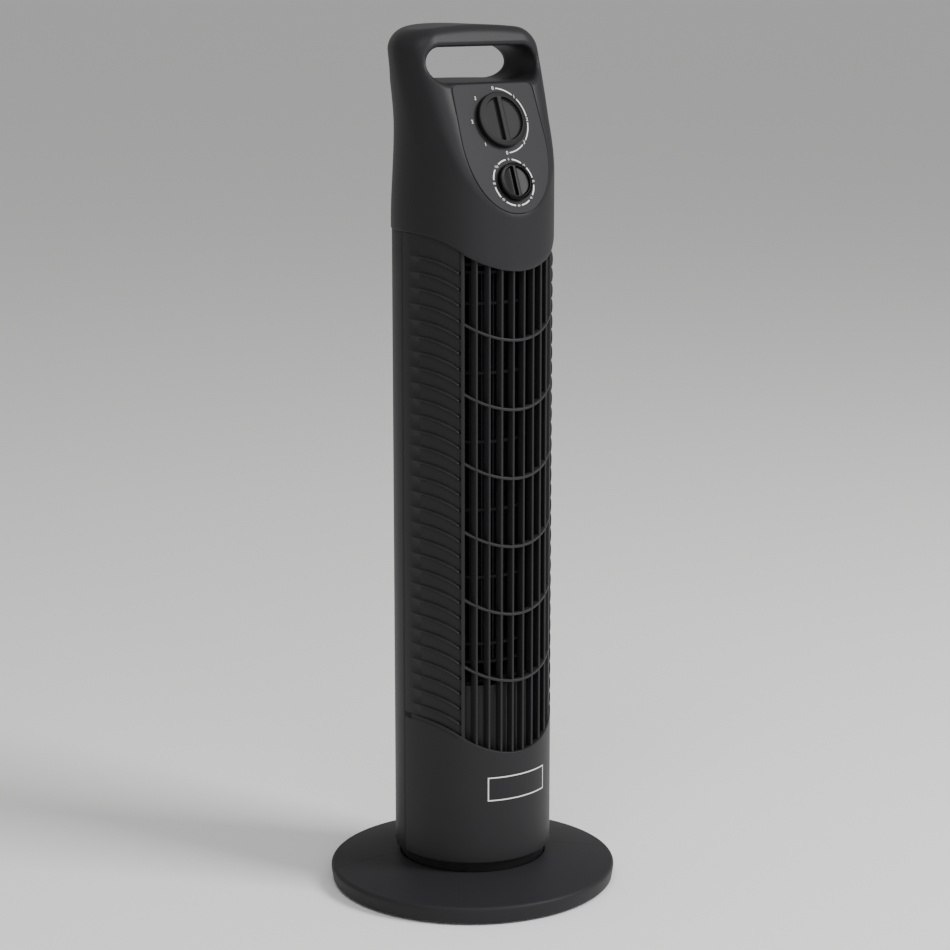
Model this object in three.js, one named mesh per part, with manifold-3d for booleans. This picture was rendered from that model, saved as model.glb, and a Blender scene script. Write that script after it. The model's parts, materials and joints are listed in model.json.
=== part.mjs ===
// Tower fan with a carrying handle: a round column that swings on a two-piece base, with a
// cross-flow impeller behind a curved grille and two knobs on a sloping panel under the handle.
// Millimetres, +Z up, the front of the column faces -Y, the origin is on the floor on the swing axis.
import * as THREE from "three";
import { mergeVertices } from "three/addons/utils/BufferGeometryUtils.js";
import Module from "manifold-3d";

const wasm = await Module();
wasm.setup();

// ---------------------------------------------------------------- driving sizes, general
const GAP = 0.35; // air between two pieces that rest on, or slide past, each other
const WALL = 2.5; // moulded wall of the housings and the head
const TOTAL_HEIGHT = 738;
const COLUMN_RADIUS = 67.4;

// ---------------------------------------------------------------- driving sizes, base
const BASE_RIM = 124; // half the base's length along its seam
const BASE_RIM_ACROSS = BASE_RIM - 2.5; // half its width across the seam
const BASE_SKIN = 2.6; // moulded skin of the base
const FOOT_HEIGHT = 2.2; // how far the feet lift the base's edge off the floor
const FOOT_RADIUS = 6.5;
const FOOT_BODY = 6; // part of a foot that stands up inside the base
const FOOT_COUNT = 8;
const FOOT_INSET = 14.5; // from the base's rim to a foot's centre
const RIM_HEIGHT = 14.4; // from the base's lower edge to the top of its rim
const BASE_RISE = 9.5; // from the top of the rim up to the base's centre
const BASE_TURN = -23.2; // the base's front, seen from the column's front at rest

// ---------------------------------------------------------------- driving sizes, swivel
const PEDESTAL_RADIUS = COLUMN_RADIUS - 4.8; // round stand that the column turns on
const PEDESTAL_WALL = 3.4;
const PEDESTAL_FLANGE = 9; // how far its foot reaches under the base's skin
const POST_RADIUS = 8; // hollow post on the swing axis, which the cable passes through
const POST_BORE = 4.5;
const POST_HEIGHT = 33; // above the pedestal's deck
const DECK_THICKNESS = 3;
const THRUST_THICKNESS = 1.2;
const SWING_HALF = 37.5; // half of the whole swing
const CRANK_CENTRE = PEDESTAL_RADIUS - 28.6; // from the swing axis to the crank's shaft
const CRANK_RATIO = -2.9; // crank turn for each degree of swing
const CRANK_PIN_RADIUS = 2.5;
const CRANK_PIN_PLAY = CRANK_CENTRE * 0.04; // room each side of the pin in its slot
const CRANK_SHAFT_RADIUS = 2.2;
const CRANK_THICKNESS = 4;
const SWING_MOTOR_RADIUS = 20.5;
const SWING_MOTOR_HEIGHT = 17;

// ---------------------------------------------------------------- driving sizes, column
const COLUMN_BOTTOM = 35; // height of the column's lower edge
const HOUSING_HALF = 94.5; // half of the front housing's arc, in degrees
const OPEN_HALF = 41.4; // half of the outlet's arc
const OUTLET_BOTTOM = 131.5; // height of the outlet's lower edge, on the centre line
const OUTLET_TOP = TOTAL_HEIGHT - 197; // height of its upper edge, on the centre line
const BAR_COUNT = 6;
const FIRST_BAR = 194;
const BAR_PITCH = (OUTLET_TOP + 1 - FIRST_BAR) / BAR_COUNT; // height of one cell of the outlet
const SMILE = 14.3; // how much higher a bar is at its ends
const SMILE_POWER = 1.9;
const BAR_HEIGHT = 2.4;
const FIN_COUNT = 8;
const FIN_STEP = 9.2; // angle between two fins
const FIN_THICKNESS = 2;
const FIN_DEPTH = 8;
const FIN_INSET = 0.7; // grille behind the column's surface
const FRAME_WIDTH = 2.4; // arc of the upright at each side of the grille

// Ribs on the sides of the front housing.
const RIB_COUNT = 31;
const RIB_OUTER_ANGLE = 86; // where the ribs fade out
const RIB_INNER_ANGLE = 45; // where they end beside the outlet
const RIB_THICKNESS = 2;
const RIB_DROP = 15.4; // how much lower a rib is beside the outlet
const RIB_DROP_POWER = 2.45;
const PANEL_SINK = 3; // depth of the ribbed panel beside the outlet
const HEAD_EDGE = OUTLET_TOP + SMILE + RIB_DROP + 0.7; // height of the head's lower edge at the sides and back
const PANEL_EDGE = OUTLET_BOTTOM + SMILE + RIB_DROP + 0.1; // height of the ribbed panel's lower edge at the sides
const FIRST_RIB = HEAD_EDGE - 19; // height of the top rib where it fades out
const RIB_PITCH = (FIRST_RIB - PANEL_EDGE + 3.4) / (RIB_COUNT - 1);

// ---------------------------------------------------------------- driving sizes, head
const HEAD_RADIUS = COLUMN_RADIUS + 0.8;
const HEAD_WAIST = HEAD_RADIUS - 2.9; // where it draws in behind
const HEAD_CROWN = HEAD_RADIUS + 1.8; // where it widens again round the grip
const FACE_START = HEAD_EDGE + 16.6; // height at which the sloping face leaves the round column
const FACE_LEAN = 21.6; // degrees that the face leans back from upright
const CROWN_FROM = TOTAL_HEIGHT - 83;
const CROWN_TO = TOTAL_HEIGHT - 16;
const SIDE_FACE_ANGLE = 54.3; // the head is flattened beside the sloping face, facing this way
const SIDE_FACE_START = TOTAL_HEIGHT - 95; // height and distance from the axis at which the flattening starts
const SIDE_FACE_REACH = HEAD_RADIUS - 0.2;
const SIDE_FACE_SLOPE = 0.183; // how fast it closes in with height
const TOP_ROUND = 16; // rounding of the top edge at the sides and back
const TOP_ROUND_FRONT = 7;
const TOP_ARCH = 6; // how much lower the top is at its ends
const HANDLE_HALF = HEAD_CROWN - 15.5; // half the width of the grip opening
const HANDLE_LOW = TOTAL_HEIGHT - 46;
const HANDLE_HIGH = TOTAL_HEIGHT - 17.5;
const HANDLE_CORNER = 14;

// ---------------------------------------------------------------- driving sizes, controls
const PANEL_THICKNESS = 1.2;
const PANEL_HALF = 42;
const PANEL_TOP = 110.8; // along the face, from where it starts
const PANEL_SHOULDER = 62; // where the panel is widest
const SPEED_KNOB_RADIUS = 23.3;
const SPEED_KNOB_HEIGHT = 6.5;
const SPEED_KNOB_PLACE = 79; // along the face
const TIMER_KNOB_RADIUS = 15.9;
const TIMER_KNOB_HEIGHT = 5.5;
const TIMER_KNOB_PLACE = 26.4;
const SPINDLE_RADIUS = 3;
const SPINDLE_REACH = 0.3; // share of a knob's height that its spindle fills
const POCKET_FLOOR = 0.5; // share of a knob's height under its finger pockets
const SWITCH_SIZE = 28;
const SWITCH_DEPTH = 18;
const TIMER_SIZE = 30;
const TIMER_DEPTH = 20;

// ---------------------------------------------------------------- driving sizes, fan
const IMPELLER_RADIUS = COLUMN_RADIUS - 22.4;
const BLADE_COUNT = 6;
const IMPELLER_SIDES = 18;
const BLADE_DEPTH = 9;
const BLADE_THICKNESS = 1.2;
const DISC_THICKNESS = 2.4;
const IMPELLER_BOTTOM = FIRST_BAR + 12;
const IMPELLER_TOP = OUTLET_TOP - 1;
const SHAFT_RADIUS = 4;
const COUPLING_RADIUS = 12;
const STUB_RADIUS = 3;
const ROTOR_RADIUS = 21;
const ROTOR_HEIGHT = 30;
const STATOR_RADIUS = COLUMN_RADIUS - 26.4;
const STATOR_HEIGHT = 28;
const STATOR_BOTTOM = 122;
const BRACKET_RADIUS = STATOR_RADIUS + 3;
const BRACKET_STANDOFF = 16; // from the stator to each motor bracket
const MOTOR_DECK = FIRST_BAR - 4; // height of the shelf above the motor
const AIR_GUIDE_WALL = 2;
const SCREW_HEAD_RADIUS = 3.6;
const SCREW_SHANK_RADIUS = 1.7;
const SCREW_HEAD_HEIGHT = 2.4;
const BOSS_RADIUS = 5.6;
const BOSS_X = COLUMN_RADIUS - 13.4; // housing screws, sideways from the centre line
const BOSS_HEIGHTS = [76, 172, HEAD_EDGE - 13.4];
const CORD_RADIUS = 3.5;
const GLAND_HEIGHT = 62;

// ---------------------------------------------------------------- finishes
const finish = (color, roughness, metalness = 0) =>
  new THREE.MeshStandardMaterial({ color, roughness, metalness });
const CHARCOAL = finish(0x2d2c2d, 0.5);
const PANEL_GREY = finish(0x48474a, 0.55);
const KNOB_BLACK = finish(0x19191a, 0.4);
const GLOSS_BLACK = finish(0x0c0c0d, 0.12);
const INNER_BLACK = finish(0x141415, 0.6);
const RUBBER = finish(0x1b1b1b, 0.9);
const STEEL = finish(0xb9bcc0, 0.35, 1);
const BRONZE = finish(0xa5794a, 0.45, 1);
const IRON = finish(0x6c6f74, 0.5, 1);
const ACETAL = finish(0xe4e2da, 0.5);

// ---------------------------------------------------------------- solids
function toSolid(geometry) {
  const plain = new THREE.BufferGeometry();
  const source = geometry.index ? geometry.toNonIndexed() : geometry;
  plain.setAttribute("position", source.getAttribute("position"));
  const merged = mergeVertices(plain, 1e-4);
  const triVerts = new Uint32Array(merged.index.array);
  const vertProperties = merged.attributes.position.array;
  const made = new wasm.Manifold(new wasm.Mesh({ numProp: 3, vertProperties, triVerts }));
  if (made.volume() > 0) return made;
  for (let i = 0; i < triVerts.length; i += 3) triVerts.subarray(i, i + 2).reverse();
  return new wasm.Manifold(new wasm.Mesh({ numProp: 3, vertProperties, triVerts }));
}

const join = (first, ...others) => others.reduce((sum, other) => sum.add(other), first);
const cut = (first, ...others) => others.reduce((rest, other) => rest.subtract(other), first);

function toGeometry(solid) {
  const mesh = solid.getMesh();
  const places = new Float32Array(mesh.numVert * 3);
  for (let i = 0; i < mesh.numVert; i++) {
    places.set(mesh.vertProperties.subarray(i * mesh.numProp, i * mesh.numProp + 3), i * 3);
  }
  const geometry = new THREE.BufferGeometry();
  geometry.setAttribute("position", new THREE.BufferAttribute(places, 3));
  geometry.setIndex(new THREE.BufferAttribute(mesh.triVerts, 1));
  geometry.computeVertexNormals();
  return geometry;
}

const block = (low, high) => {
  const size = high.map((value, i) => value - low[i]);
  const middle = high.map((value, i) => (value + low[i]) / 2);
  return toSolid(new THREE.BoxGeometry(...size).translate(...middle));
};

// A solid turned about Z: the profile holds [radius, height] pairs and closes on itself or on the axis.
function turned(profile, sides = 24) {
  const points = profile.map(([radius, height]) => new THREE.Vector2(radius, height));
  return toSolid(new THREE.LatheGeometry(points, sides).rotateX(Math.PI / 2));
}

const disc = (radius, low, high, sides) =>
  turned([[0, low], [radius, low], [radius, high], [0, high]], sides);

const ring = (inner, outer, low, high, sides) =>
  turned([[inner, low], [outer, low], [outer, high], [inner, high], [inner, low]], sides);

// A round bar along Y.
const barAlongY = (radius, low, high, x, z, sides) =>
  disc(radius, low, high, sides).rotate([-90, 0, 0]).translate([x, 0, z]);

// Angles are in degrees from the front, and positive towards +X.
const polar = (radius, angle, height) => {
  const turn = THREE.MathUtils.degToRad(angle);
  return new THREE.Vector3(radius * Math.sin(turn), -radius * Math.cos(turn), height);
};

// A closed skin through sections that all have the same number of points.
function loft(sections, capped) {
  const triangles = [];
  const add = (...corners) => corners.forEach((p) => triangles.push(p.x, p.y, p.z));
  const count = sections[0].length;
  for (let i = 0; i + 1 < sections.length; i++) {
    for (let j = 0; j < count; j++) {
      const k = (j + 1) % count;
      add(sections[i][j], sections[i][k], sections[i + 1][k]);
      add(sections[i][j], sections[i + 1][k], sections[i + 1][j]);
    }
  }
  if (capped) {
    const [first, last] = [sections[0], sections[sections.length - 1]];
    for (let j = 1; j + 1 < count; j++) {
      add(first[0], first[j + 1], first[j]);
      add(last[0], last[j], last[j + 1]);
    }
  }
  const geometry = new THREE.BufferGeometry();
  geometry.setAttribute("position", new THREE.Float32BufferAttribute(triangles, 3));
  return toSolid(geometry);
}

const spread = (from, to, steps) =>
  Array.from({ length: steps + 1 }, (_, i) => from + ((to - from) * i) / steps);

// A wall between two radii through the given angles. Radii and edge heights may follow the angle.
function arcWall({ angles, inner, outer, low, high }) {
  const at = (value, angle) => (typeof value === "function" ? value(angle) : value);
  const sections = [];
  for (const angle of angles) {
    const [rIn, rOut] = [at(inner, angle), at(outer, angle)];
    const [zLow, zHigh] = [at(low, angle), at(high, angle)];
    sections.push([
      polar(rOut, angle, zLow),
      polar(rOut, angle, zHigh),
      polar(rIn, angle, zHigh),
      polar(rIn, angle, zLow),
    ]);
  }
  return loft(sections, angles[angles.length - 1] - angles[0] < 360);
}

const smooth = (low, high, value) => {
  const t = Math.min(1, Math.max(0, (value - low) / (high - low)));
  return t * t * (3 - 2 * t);
};

// ---------------------------------------------------------------- the scene graph
const fan = new THREE.Group();
const baseGroup = new THREE.Group();
baseGroup.rotation.z = THREE.MathUtils.degToRad(BASE_TURN);
fan.add(baseGroup);

function place(name, solid, material, parent = fan) {
  const mesh = new THREE.Mesh(toGeometry(solid), material);
  mesh.name = name;
  parent.add(mesh);
  return mesh;
}

// ---------------------------------------------------------------- base
const RIM_TOP = FOOT_HEIGHT + RIM_HEIGHT;
const BASE_CROWN = RIM_TOP + BASE_RISE;
const PEDESTAL_HOLE = PEDESTAL_RADIUS + GAP;
const FLANGE_RADIUS = PEDESTAL_RADIUS + PEDESTAL_FLANGE;

// The oval grows out of a round centre: the radius at an angle, for a nominal radius.
function ovalRadius(radius, angle) {
  const turn = THREE.MathUtils.degToRad(angle);
  const across = (Math.cos(turn) * BASE_RIM) / BASE_RIM_ACROSS;
  const rim = 1 / Math.hypot(Math.sin(turn), across);
  return radius * (1 + (rim - 1) * smooth(FLANGE_RADIUS, BASE_RIM, radius));
}

// Height of the base's upper surface at a nominal radius.
const crownHeight = (radius) => {
  const reach = (radius - PEDESTAL_HOLE) / (BASE_RIM - 3 - PEDESTAL_HOLE);
  return BASE_CROWN - BASE_RISE * reach ** 1.3;
};

function baseSolid() {
  const tops = [PEDESTAL_HOLE, FLANGE_RADIUS + 3, 100, BASE_RIM - 3];
  const shelf = tops.map((radius) => [radius, crownHeight(radius)]);
  const edge = [
    [BASE_RIM - 0.6, RIM_TOP - 1],
    [BASE_RIM, RIM_TOP - 3.2],
    [BASE_RIM - 1.8, FOOT_HEIGHT],
    [BASE_RIM - 1.8 - BASE_SKIN, FOOT_HEIGHT],
    [BASE_RIM - BASE_SKIN - 1, RIM_TOP - 4.4],
  ];
  const inside = tops.slice(0, -1).reverse().map((radius) => [radius, crownHeight(radius) - BASE_SKIN]);
  const profile = [...shelf, ...edge, ...inside];
  const sides = 36;
  const sections = [];
  for (let i = 0; i <= sides; i++) {
    const angle = (i * 360) / sides;
    sections.push(profile.map(([radius, height]) => polar(ovalRadius(radius, angle), angle, height)));
  }
  return loft(sections, false);
}

const footPlaces = Array.from({ length: FOOT_COUNT }, (_, i) => {
  const angle = ((i + 0.5) * 360) / FOOT_COUNT;
  return polar(ovalRadius(BASE_RIM - FOOT_INSET, angle), angle, 0);
});
const baseScrewPlaces = [45, 135, 225, 315].map((angle) => polar(PEDESTAL_RADIUS + 5, angle, 0));
const FLANGE_TOP = crownHeight(FLANGE_RADIUS) - BASE_SKIN - GAP;
const FLANGE_BOTTOM = FLANGE_TOP - DECK_THICKNESS;

let wholeBase = baseSolid();
for (const foot of footPlaces) {
  const radius = BASE_RIM - FOOT_INSET;
  const top = crownHeight(radius) - BASE_SKIN / 2;
  const post = disc(FOOT_RADIUS - 1.5, FOOT_HEIGHT + FOOT_BODY + GAP, top, 12);
  wholeBase = wholeBase.add(post.translate([foot.x, foot.y, 0]));
}
for (const screw of baseScrewPlaces) {
  const hole = disc(SCREW_SHANK_RADIUS + GAP, 0, FLANGE_TOP + 2.2, 8);
  wholeBase = wholeBase.subtract(hole.translate([screw.x, screw.y, 0]));
}
const BIG = 2 * BASE_RIM;
place("base_front_half", cut(wholeBase, block([-BIG, -GAP / 2, -BIG], [BIG, BIG, BIG])), CHARCOAL, baseGroup);
place("base_rear_half", cut(wholeBase, block([-BIG, -BIG, -BIG], [BIG, GAP / 2, BIG])), CHARCOAL, baseGroup);

footPlaces.forEach((foot, i) => {
  const solid = turned([
    [0, 0],
    [FOOT_RADIUS - 0.8, 0],
    [FOOT_RADIUS, 0.8],
    [FOOT_RADIUS, FOOT_HEIGHT + FOOT_BODY],
    [0, FOOT_HEIGHT + FOOT_BODY],
  ], 12);
  place("base_foot_" + i, solid.translate([foot.x, foot.y, 0]), RUBBER, baseGroup);
});

function screw(length) {
  return turned([
    [0, 0],
    [SCREW_HEAD_RADIUS * 0.7, 0],
    [SCREW_HEAD_RADIUS, SCREW_HEAD_HEIGHT * 0.4],
    [SCREW_HEAD_RADIUS, SCREW_HEAD_HEIGHT],
    [SCREW_SHANK_RADIUS, SCREW_HEAD_HEIGHT],
    [SCREW_SHANK_RADIUS, SCREW_HEAD_HEIGHT + length],
    [0, SCREW_HEAD_HEIGHT + length],
  ], 8);
}
baseScrewPlaces.forEach((spot, i) => {
  const bottom = FLANGE_BOTTOM - GAP - SCREW_HEAD_HEIGHT;
  const solid = screw(DECK_THICKNESS + GAP + 2).translate([spot.x, spot.y, bottom]);
  place("base_screw_" + i, solid, STEEL, baseGroup);
});

// ---------------------------------------------------------------- pedestal and swivel
const DECK_BOTTOM = FLANGE_BOTTOM + 8;
const DECK_TOP = DECK_BOTTOM + DECK_THICKNESS;
const CRANK_BOTTOM = DECK_TOP + 1.5;
const CRANK_TOP = CRANK_BOTTOM + CRANK_THICKNESS;
const PEDESTAL_TOP = CRANK_TOP + 1;
const THRUST_BOTTOM = PEDESTAL_TOP + GAP;
const PLATE_BOTTOM = THRUST_BOTTOM + THRUST_THICKNESS + GAP;
const PLATE_TOP = PLATE_BOTTOM + DECK_THICKNESS;
const POST_TOP = DECK_TOP + POST_HEIGHT;
const HUB_RADIUS = POST_RADIUS + GAP + 3;
const HUB_TOP = POST_TOP - 6;

// The crank's pin runs in a straight slot, and its throw gives the swing.
const CRANK_THROW = CRANK_CENTRE * Math.sin(THREE.MathUtils.degToRad(SWING_HALF));
const pinPlaces = Array.from({ length: 41 }, (_, i) => {
  const swing = THREE.MathUtils.degToRad(-SWING_HALF + (i * SWING_HALF) / 20);
  const turn = CRANK_RATIO * swing;
  return Math.hypot(CRANK_CENTRE + CRANK_THROW * Math.cos(turn), CRANK_THROW * Math.sin(turn));
});
const SLOT_HALF = CRANK_PIN_RADIUS + CRANK_PIN_PLAY;
const SLOT_FROM = Math.min(...pinPlaces) - SLOT_HALF;
const SLOT_TO = Math.max(...pinPlaces) + SLOT_HALF;

const pedestalShell = turned([
  [POST_BORE, DECK_BOTTOM],
  [PEDESTAL_RADIUS - PEDESTAL_WALL, DECK_BOTTOM],
  [PEDESTAL_RADIUS - PEDESTAL_WALL, FLANGE_BOTTOM],
  [FLANGE_RADIUS, FLANGE_BOTTOM],
  [FLANGE_RADIUS, FLANGE_TOP],
  [PEDESTAL_RADIUS, FLANGE_TOP],
  [PEDESTAL_RADIUS, PEDESTAL_TOP],
  [PEDESTAL_RADIUS - PEDESTAL_WALL, PEDESTAL_TOP],
  [PEDESTAL_RADIUS - PEDESTAL_WALL, DECK_TOP],
  [POST_RADIUS, DECK_TOP],
  [POST_RADIUS, POST_TOP],
  [POST_BORE, POST_TOP],
  [POST_BORE, DECK_BOTTOM],
], 24);
const pinSlot = block([-SLOT_HALF, SLOT_FROM, DECK_BOTTOM - 1], [SLOT_HALF, SLOT_TO, DECK_TOP + 1]);
let pedestal = pedestalShell.subtract(pinSlot);
for (const spot of baseScrewPlaces) {
  const hole = disc(SCREW_SHANK_RADIUS + GAP, FLANGE_BOTTOM - 1, FLANGE_TOP + 1, 8);
  pedestal = pedestal.subtract(hole.translate([spot.x, spot.y, 0]));
}
place("swivel_pedestal", pedestal, INNER_BLACK, baseGroup);

const thrustRing = ring(
  PEDESTAL_RADIUS - PEDESTAL_WALL + 0.3,
  PEDESTAL_RADIUS - 0.3,
  THRUST_BOTTOM,
  THRUST_BOTTOM + THRUST_THICKNESS,
  32,
);
place("thrust_ring", thrustRing, ACETAL, baseGroup);

const collar = ring(POST_RADIUS + GAP, HUB_RADIUS + 2, HUB_TOP + GAP, POST_TOP - 0.5, 24);
place("retaining_collar", collar, STEEL, baseGroup);

const INNER_RADIUS = COLUMN_RADIUS - WALL;
const swivelPlate = turned([
  [POST_RADIUS + GAP, PLATE_BOTTOM],
  [INNER_RADIUS - GAP, PLATE_BOTTOM],
  [INNER_RADIUS - GAP, PLATE_TOP],
  [HUB_RADIUS, PLATE_TOP],
  [HUB_RADIUS, HUB_TOP],
  [POST_RADIUS + GAP, HUB_TOP],
  [POST_RADIUS + GAP, PLATE_BOTTOM],
], 32);
const shaftHole = disc(CRANK_SHAFT_RADIUS + GAP, PLATE_BOTTOM - 1, PLATE_TOP + 1, 16);
place("swivel_plate", swivelPlate.subtract(shaftHole.translate([0, CRANK_CENTRE, 0])), INNER_BLACK);

const SWING_MOTOR_BOTTOM = PLATE_TOP + GAP;
const swingMotor = join(
  disc(SWING_MOTOR_RADIUS, SWING_MOTOR_BOTTOM, SWING_MOTOR_BOTTOM + SWING_MOTOR_HEIGHT, 28),
  disc(5, PLATE_BOTTOM + 2 * GAP + DECK_THICKNESS, SWING_MOTOR_BOTTOM + 1, 16),
).translate([0, CRANK_CENTRE, 0]);
place("swing_motor", swingMotor, STEEL);

// The crank turns as the column swings, so at rest it stands where the ratio puts it.
const crankTurn = CRANK_RATIO * -BASE_TURN;
const crankArm = join(
  disc(CRANK_SHAFT_RADIUS + 3.5, CRANK_BOTTOM, CRANK_TOP, 14),
  disc(CRANK_PIN_RADIUS + 1.5, CRANK_BOTTOM, CRANK_TOP, 12).translate([0, CRANK_THROW, 0]),
  block([-CRANK_PIN_RADIUS - 0.5, 0, CRANK_BOTTOM], [CRANK_PIN_RADIUS + 0.5, CRANK_THROW, CRANK_TOP]),
  disc(CRANK_PIN_RADIUS, DECK_BOTTOM + 0.5, CRANK_TOP, 10).translate([0, CRANK_THROW, 0]),
  disc(CRANK_SHAFT_RADIUS, CRANK_BOTTOM, PLATE_TOP - 0.2, 10),
);
const crankGroup = new THREE.Group();
crankGroup.position.set(0, CRANK_CENTRE, 0);
crankGroup.rotation.z = THREE.MathUtils.degToRad(crankTurn);
fan.add(crankGroup);
place("swing_crank", crankArm, ACETAL, crankGroup);

// ---------------------------------------------------------------- curved lines on the column
const fromFront = (angle) => Math.abs(((((angle + 180) % 360) + 360) % 360) - 180);
const smile = (angle) => SMILE * (fromFront(angle) / OPEN_HALF) ** SMILE_POWER;
const ribDrop = (angle) => {
  const reach = (RIB_OUTER_ANGLE - fromFront(angle)) / (RIB_OUTER_ANGLE - OPEN_HALF);
  return RIB_DROP * Math.max(0, reach) ** RIB_DROP_POWER;
};
const headEdge = (angle) =>
  fromFront(angle) <= OPEN_HALF ? OUTLET_TOP + smile(angle) : HEAD_EDGE - ribDrop(angle);
const skirtEdge = (angle) =>
  fromFront(angle) <= OPEN_HALF ? OUTLET_BOTTOM + smile(angle) : PANEL_EDGE - ribDrop(angle);

// ---------------------------------------------------------------- front housing
const panelRadius = (angle) => {
  const reach = (RIB_OUTER_ANGLE - angle) / (RIB_OUTER_ANGLE - RIB_INNER_ANGLE);
  return COLUMN_RADIUS - PANEL_SINK * Math.max(0, Math.min(1, reach)) ** 1.2;
};
const FRAME_EDGE = OPEN_HALF + FRAME_WIDTH;
const POST_FROM = FRAME_EDGE + 0.4;
const RIB_ANGLES = spread(RIB_INNER_ANGLE, RIB_OUTER_ANGLE - 2, 2);

function frontSide() {
  const wall = arcWall({
    angles: [POST_FROM, ...RIB_ANGLES, HOUSING_HALF],
    inner: (angle) => panelRadius(angle) - WALL,
    outer: panelRadius,
    low: PANEL_EDGE - RIB_DROP - 6,
    high: (angle) => headEdge(angle) - GAP,
  });
  const ribs = Array.from({ length: RIB_COUNT }, (_, i) => {
    const height = FIRST_RIB - i * RIB_PITCH;
    return arcWall({
      angles: RIB_ANGLES,
      inner: (angle) => panelRadius(angle) - 1,
      outer: COLUMN_RADIUS,
      low: (angle) => height - ribDrop(angle) - RIB_THICKNESS / 2,
      high: (angle) => height - ribDrop(angle) + RIB_THICKNESS / 2,
    });
  });
  return join(wall, ...ribs);
}

// A boss that takes a housing screw, with a web to the wall beside it.
function boss(side, height, from, to) {
  const reach = Math.sqrt(INNER_RADIUS ** 2 - 25) + 0.6;
  const web = block([BOSS_X, from, height - 1.2], [reach, Math.min(to, 8), height + 1.2]);
  const tube = barAlongY(BOSS_RADIUS, from, to, BOSS_X, height, 8);
  const whole = from < 0 ? tube.add(web) : tube;
  return side > 0 ? whole : whole.mirror([1, 0, 0]);
}

const SEAM_Y = -COLUMN_RADIUS * Math.cos(THREE.MathUtils.degToRad(HOUSING_HALF));
const skirt = arcWall({
  angles: spread(-HOUSING_HALF, HOUSING_HALF, 30),
  inner: INNER_RADIUS,
  outer: COLUMN_RADIUS,
  low: COLUMN_BOTTOM,
  high: skirtEdge,
});
const rightSide = frontSide();
let frontHousing = join(skirt, rightSide, rightSide.mirror([1, 0, 0]));
for (const side of [-1, 1]) {
  for (const height of BOSS_HEIGHTS) {
    frontHousing = frontHousing.add(boss(side, height, -8, SEAM_Y));
    const hole = barAlongY(SCREW_SHANK_RADIUS + GAP, -6, SEAM_Y + 2, side * BOSS_X, height, 6);
    frontHousing = frontHousing.subtract(hole);
  }
}
place("front_housing", frontHousing, CHARCOAL);

// ---------------------------------------------------------------- rear housing
const REAR_FROM = HOUSING_HALF + 0.4;
const REAR_SLOTS = 7;
const REAR_SLOT_STEP = 16;
const REAR_SLOT_HALF = 4;
const REAR_SLOT_MARGIN = 5;
const BOSS_SHELF = Math.sqrt(INNER_RADIUS ** 2 - BOSS_X ** 2) - 2;
let rearHousing = arcWall({
  angles: spread(REAR_FROM, 360 - REAR_FROM, 26),
  inner: INNER_RADIUS,
  outer: COLUMN_RADIUS,
  low: COLUMN_BOTTOM,
  high: HEAD_EDGE - GAP,
});
for (const side of [-1, 1]) {
  for (const height of BOSS_HEIGHTS) {
    const tube = barAlongY(BOSS_RADIUS, SEAM_Y + GAP, BOSS_SHELF + 8, side * BOSS_X, height, 8);
    const kept = tube.intersect(disc(COLUMN_RADIUS - 0.5, 0, TOTAL_HEIGHT, 36));
    rearHousing = rearHousing.add(kept);
    const headHole = barAlongY(SCREW_HEAD_RADIUS + GAP, BOSS_SHELF, 80, side * BOSS_X, height, 8);
    const shankHole = barAlongY(SCREW_SHANK_RADIUS + GAP, -5, 80, side * BOSS_X, height, 6);
    rearHousing = cut(rearHousing, headHole, shankHole);
  }
}
for (let row = 0; row < BAR_COUNT; row++) {
  const low = FIRST_BAR + row * BAR_PITCH + REAR_SLOT_MARGIN;
  const high = low + BAR_PITCH - 2 * REAR_SLOT_MARGIN;
  for (let i = 0; i < REAR_SLOTS; i++) {
    const turn = (i - (REAR_SLOTS - 1) / 2) * REAR_SLOT_STEP;
    const slot = block([-REAR_SLOT_HALF, INNER_RADIUS - 6, low], [REAR_SLOT_HALF, COLUMN_RADIUS + 6, high]);
    rearHousing = rearHousing.subtract(slot.rotate([0, 0, turn]));
  }
}
const glandHole = barAlongY(CORD_RADIUS + 2.5 + GAP, 0, 80, 0, GLAND_HEIGHT, 12);
place("rear_housing", rearHousing.subtract(glandHole), CHARCOAL);

let screwIndex = 0;
for (const side of [-1, 1]) {
  for (const height of BOSS_HEIGHTS) {
    const length = BOSS_SHELF - SEAM_Y + 3;
    const start = BOSS_SHELF + GAP + SCREW_HEAD_HEIGHT;
    const solid = screw(length).rotate([90, 0, 0]).translate([side * BOSS_X, start, height]);
    place("housing_screw_" + screwIndex, solid, STEEL);
    screwIndex++;
  }
}

const GLAND_OUT = COLUMN_RADIUS + GAP;
const gland = join(
  ring(CORD_RADIUS, CORD_RADIUS + 2.5, INNER_RADIUS - 5, GLAND_OUT + 1, 12),
  ring(CORD_RADIUS, CORD_RADIUS + 5, GLAND_OUT, GLAND_OUT + 2, 12),
).rotate([-90, 0, 0]).translate([0, 0, GLAND_HEIGHT]);
place("cord_gland", gland, RUBBER);

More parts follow.
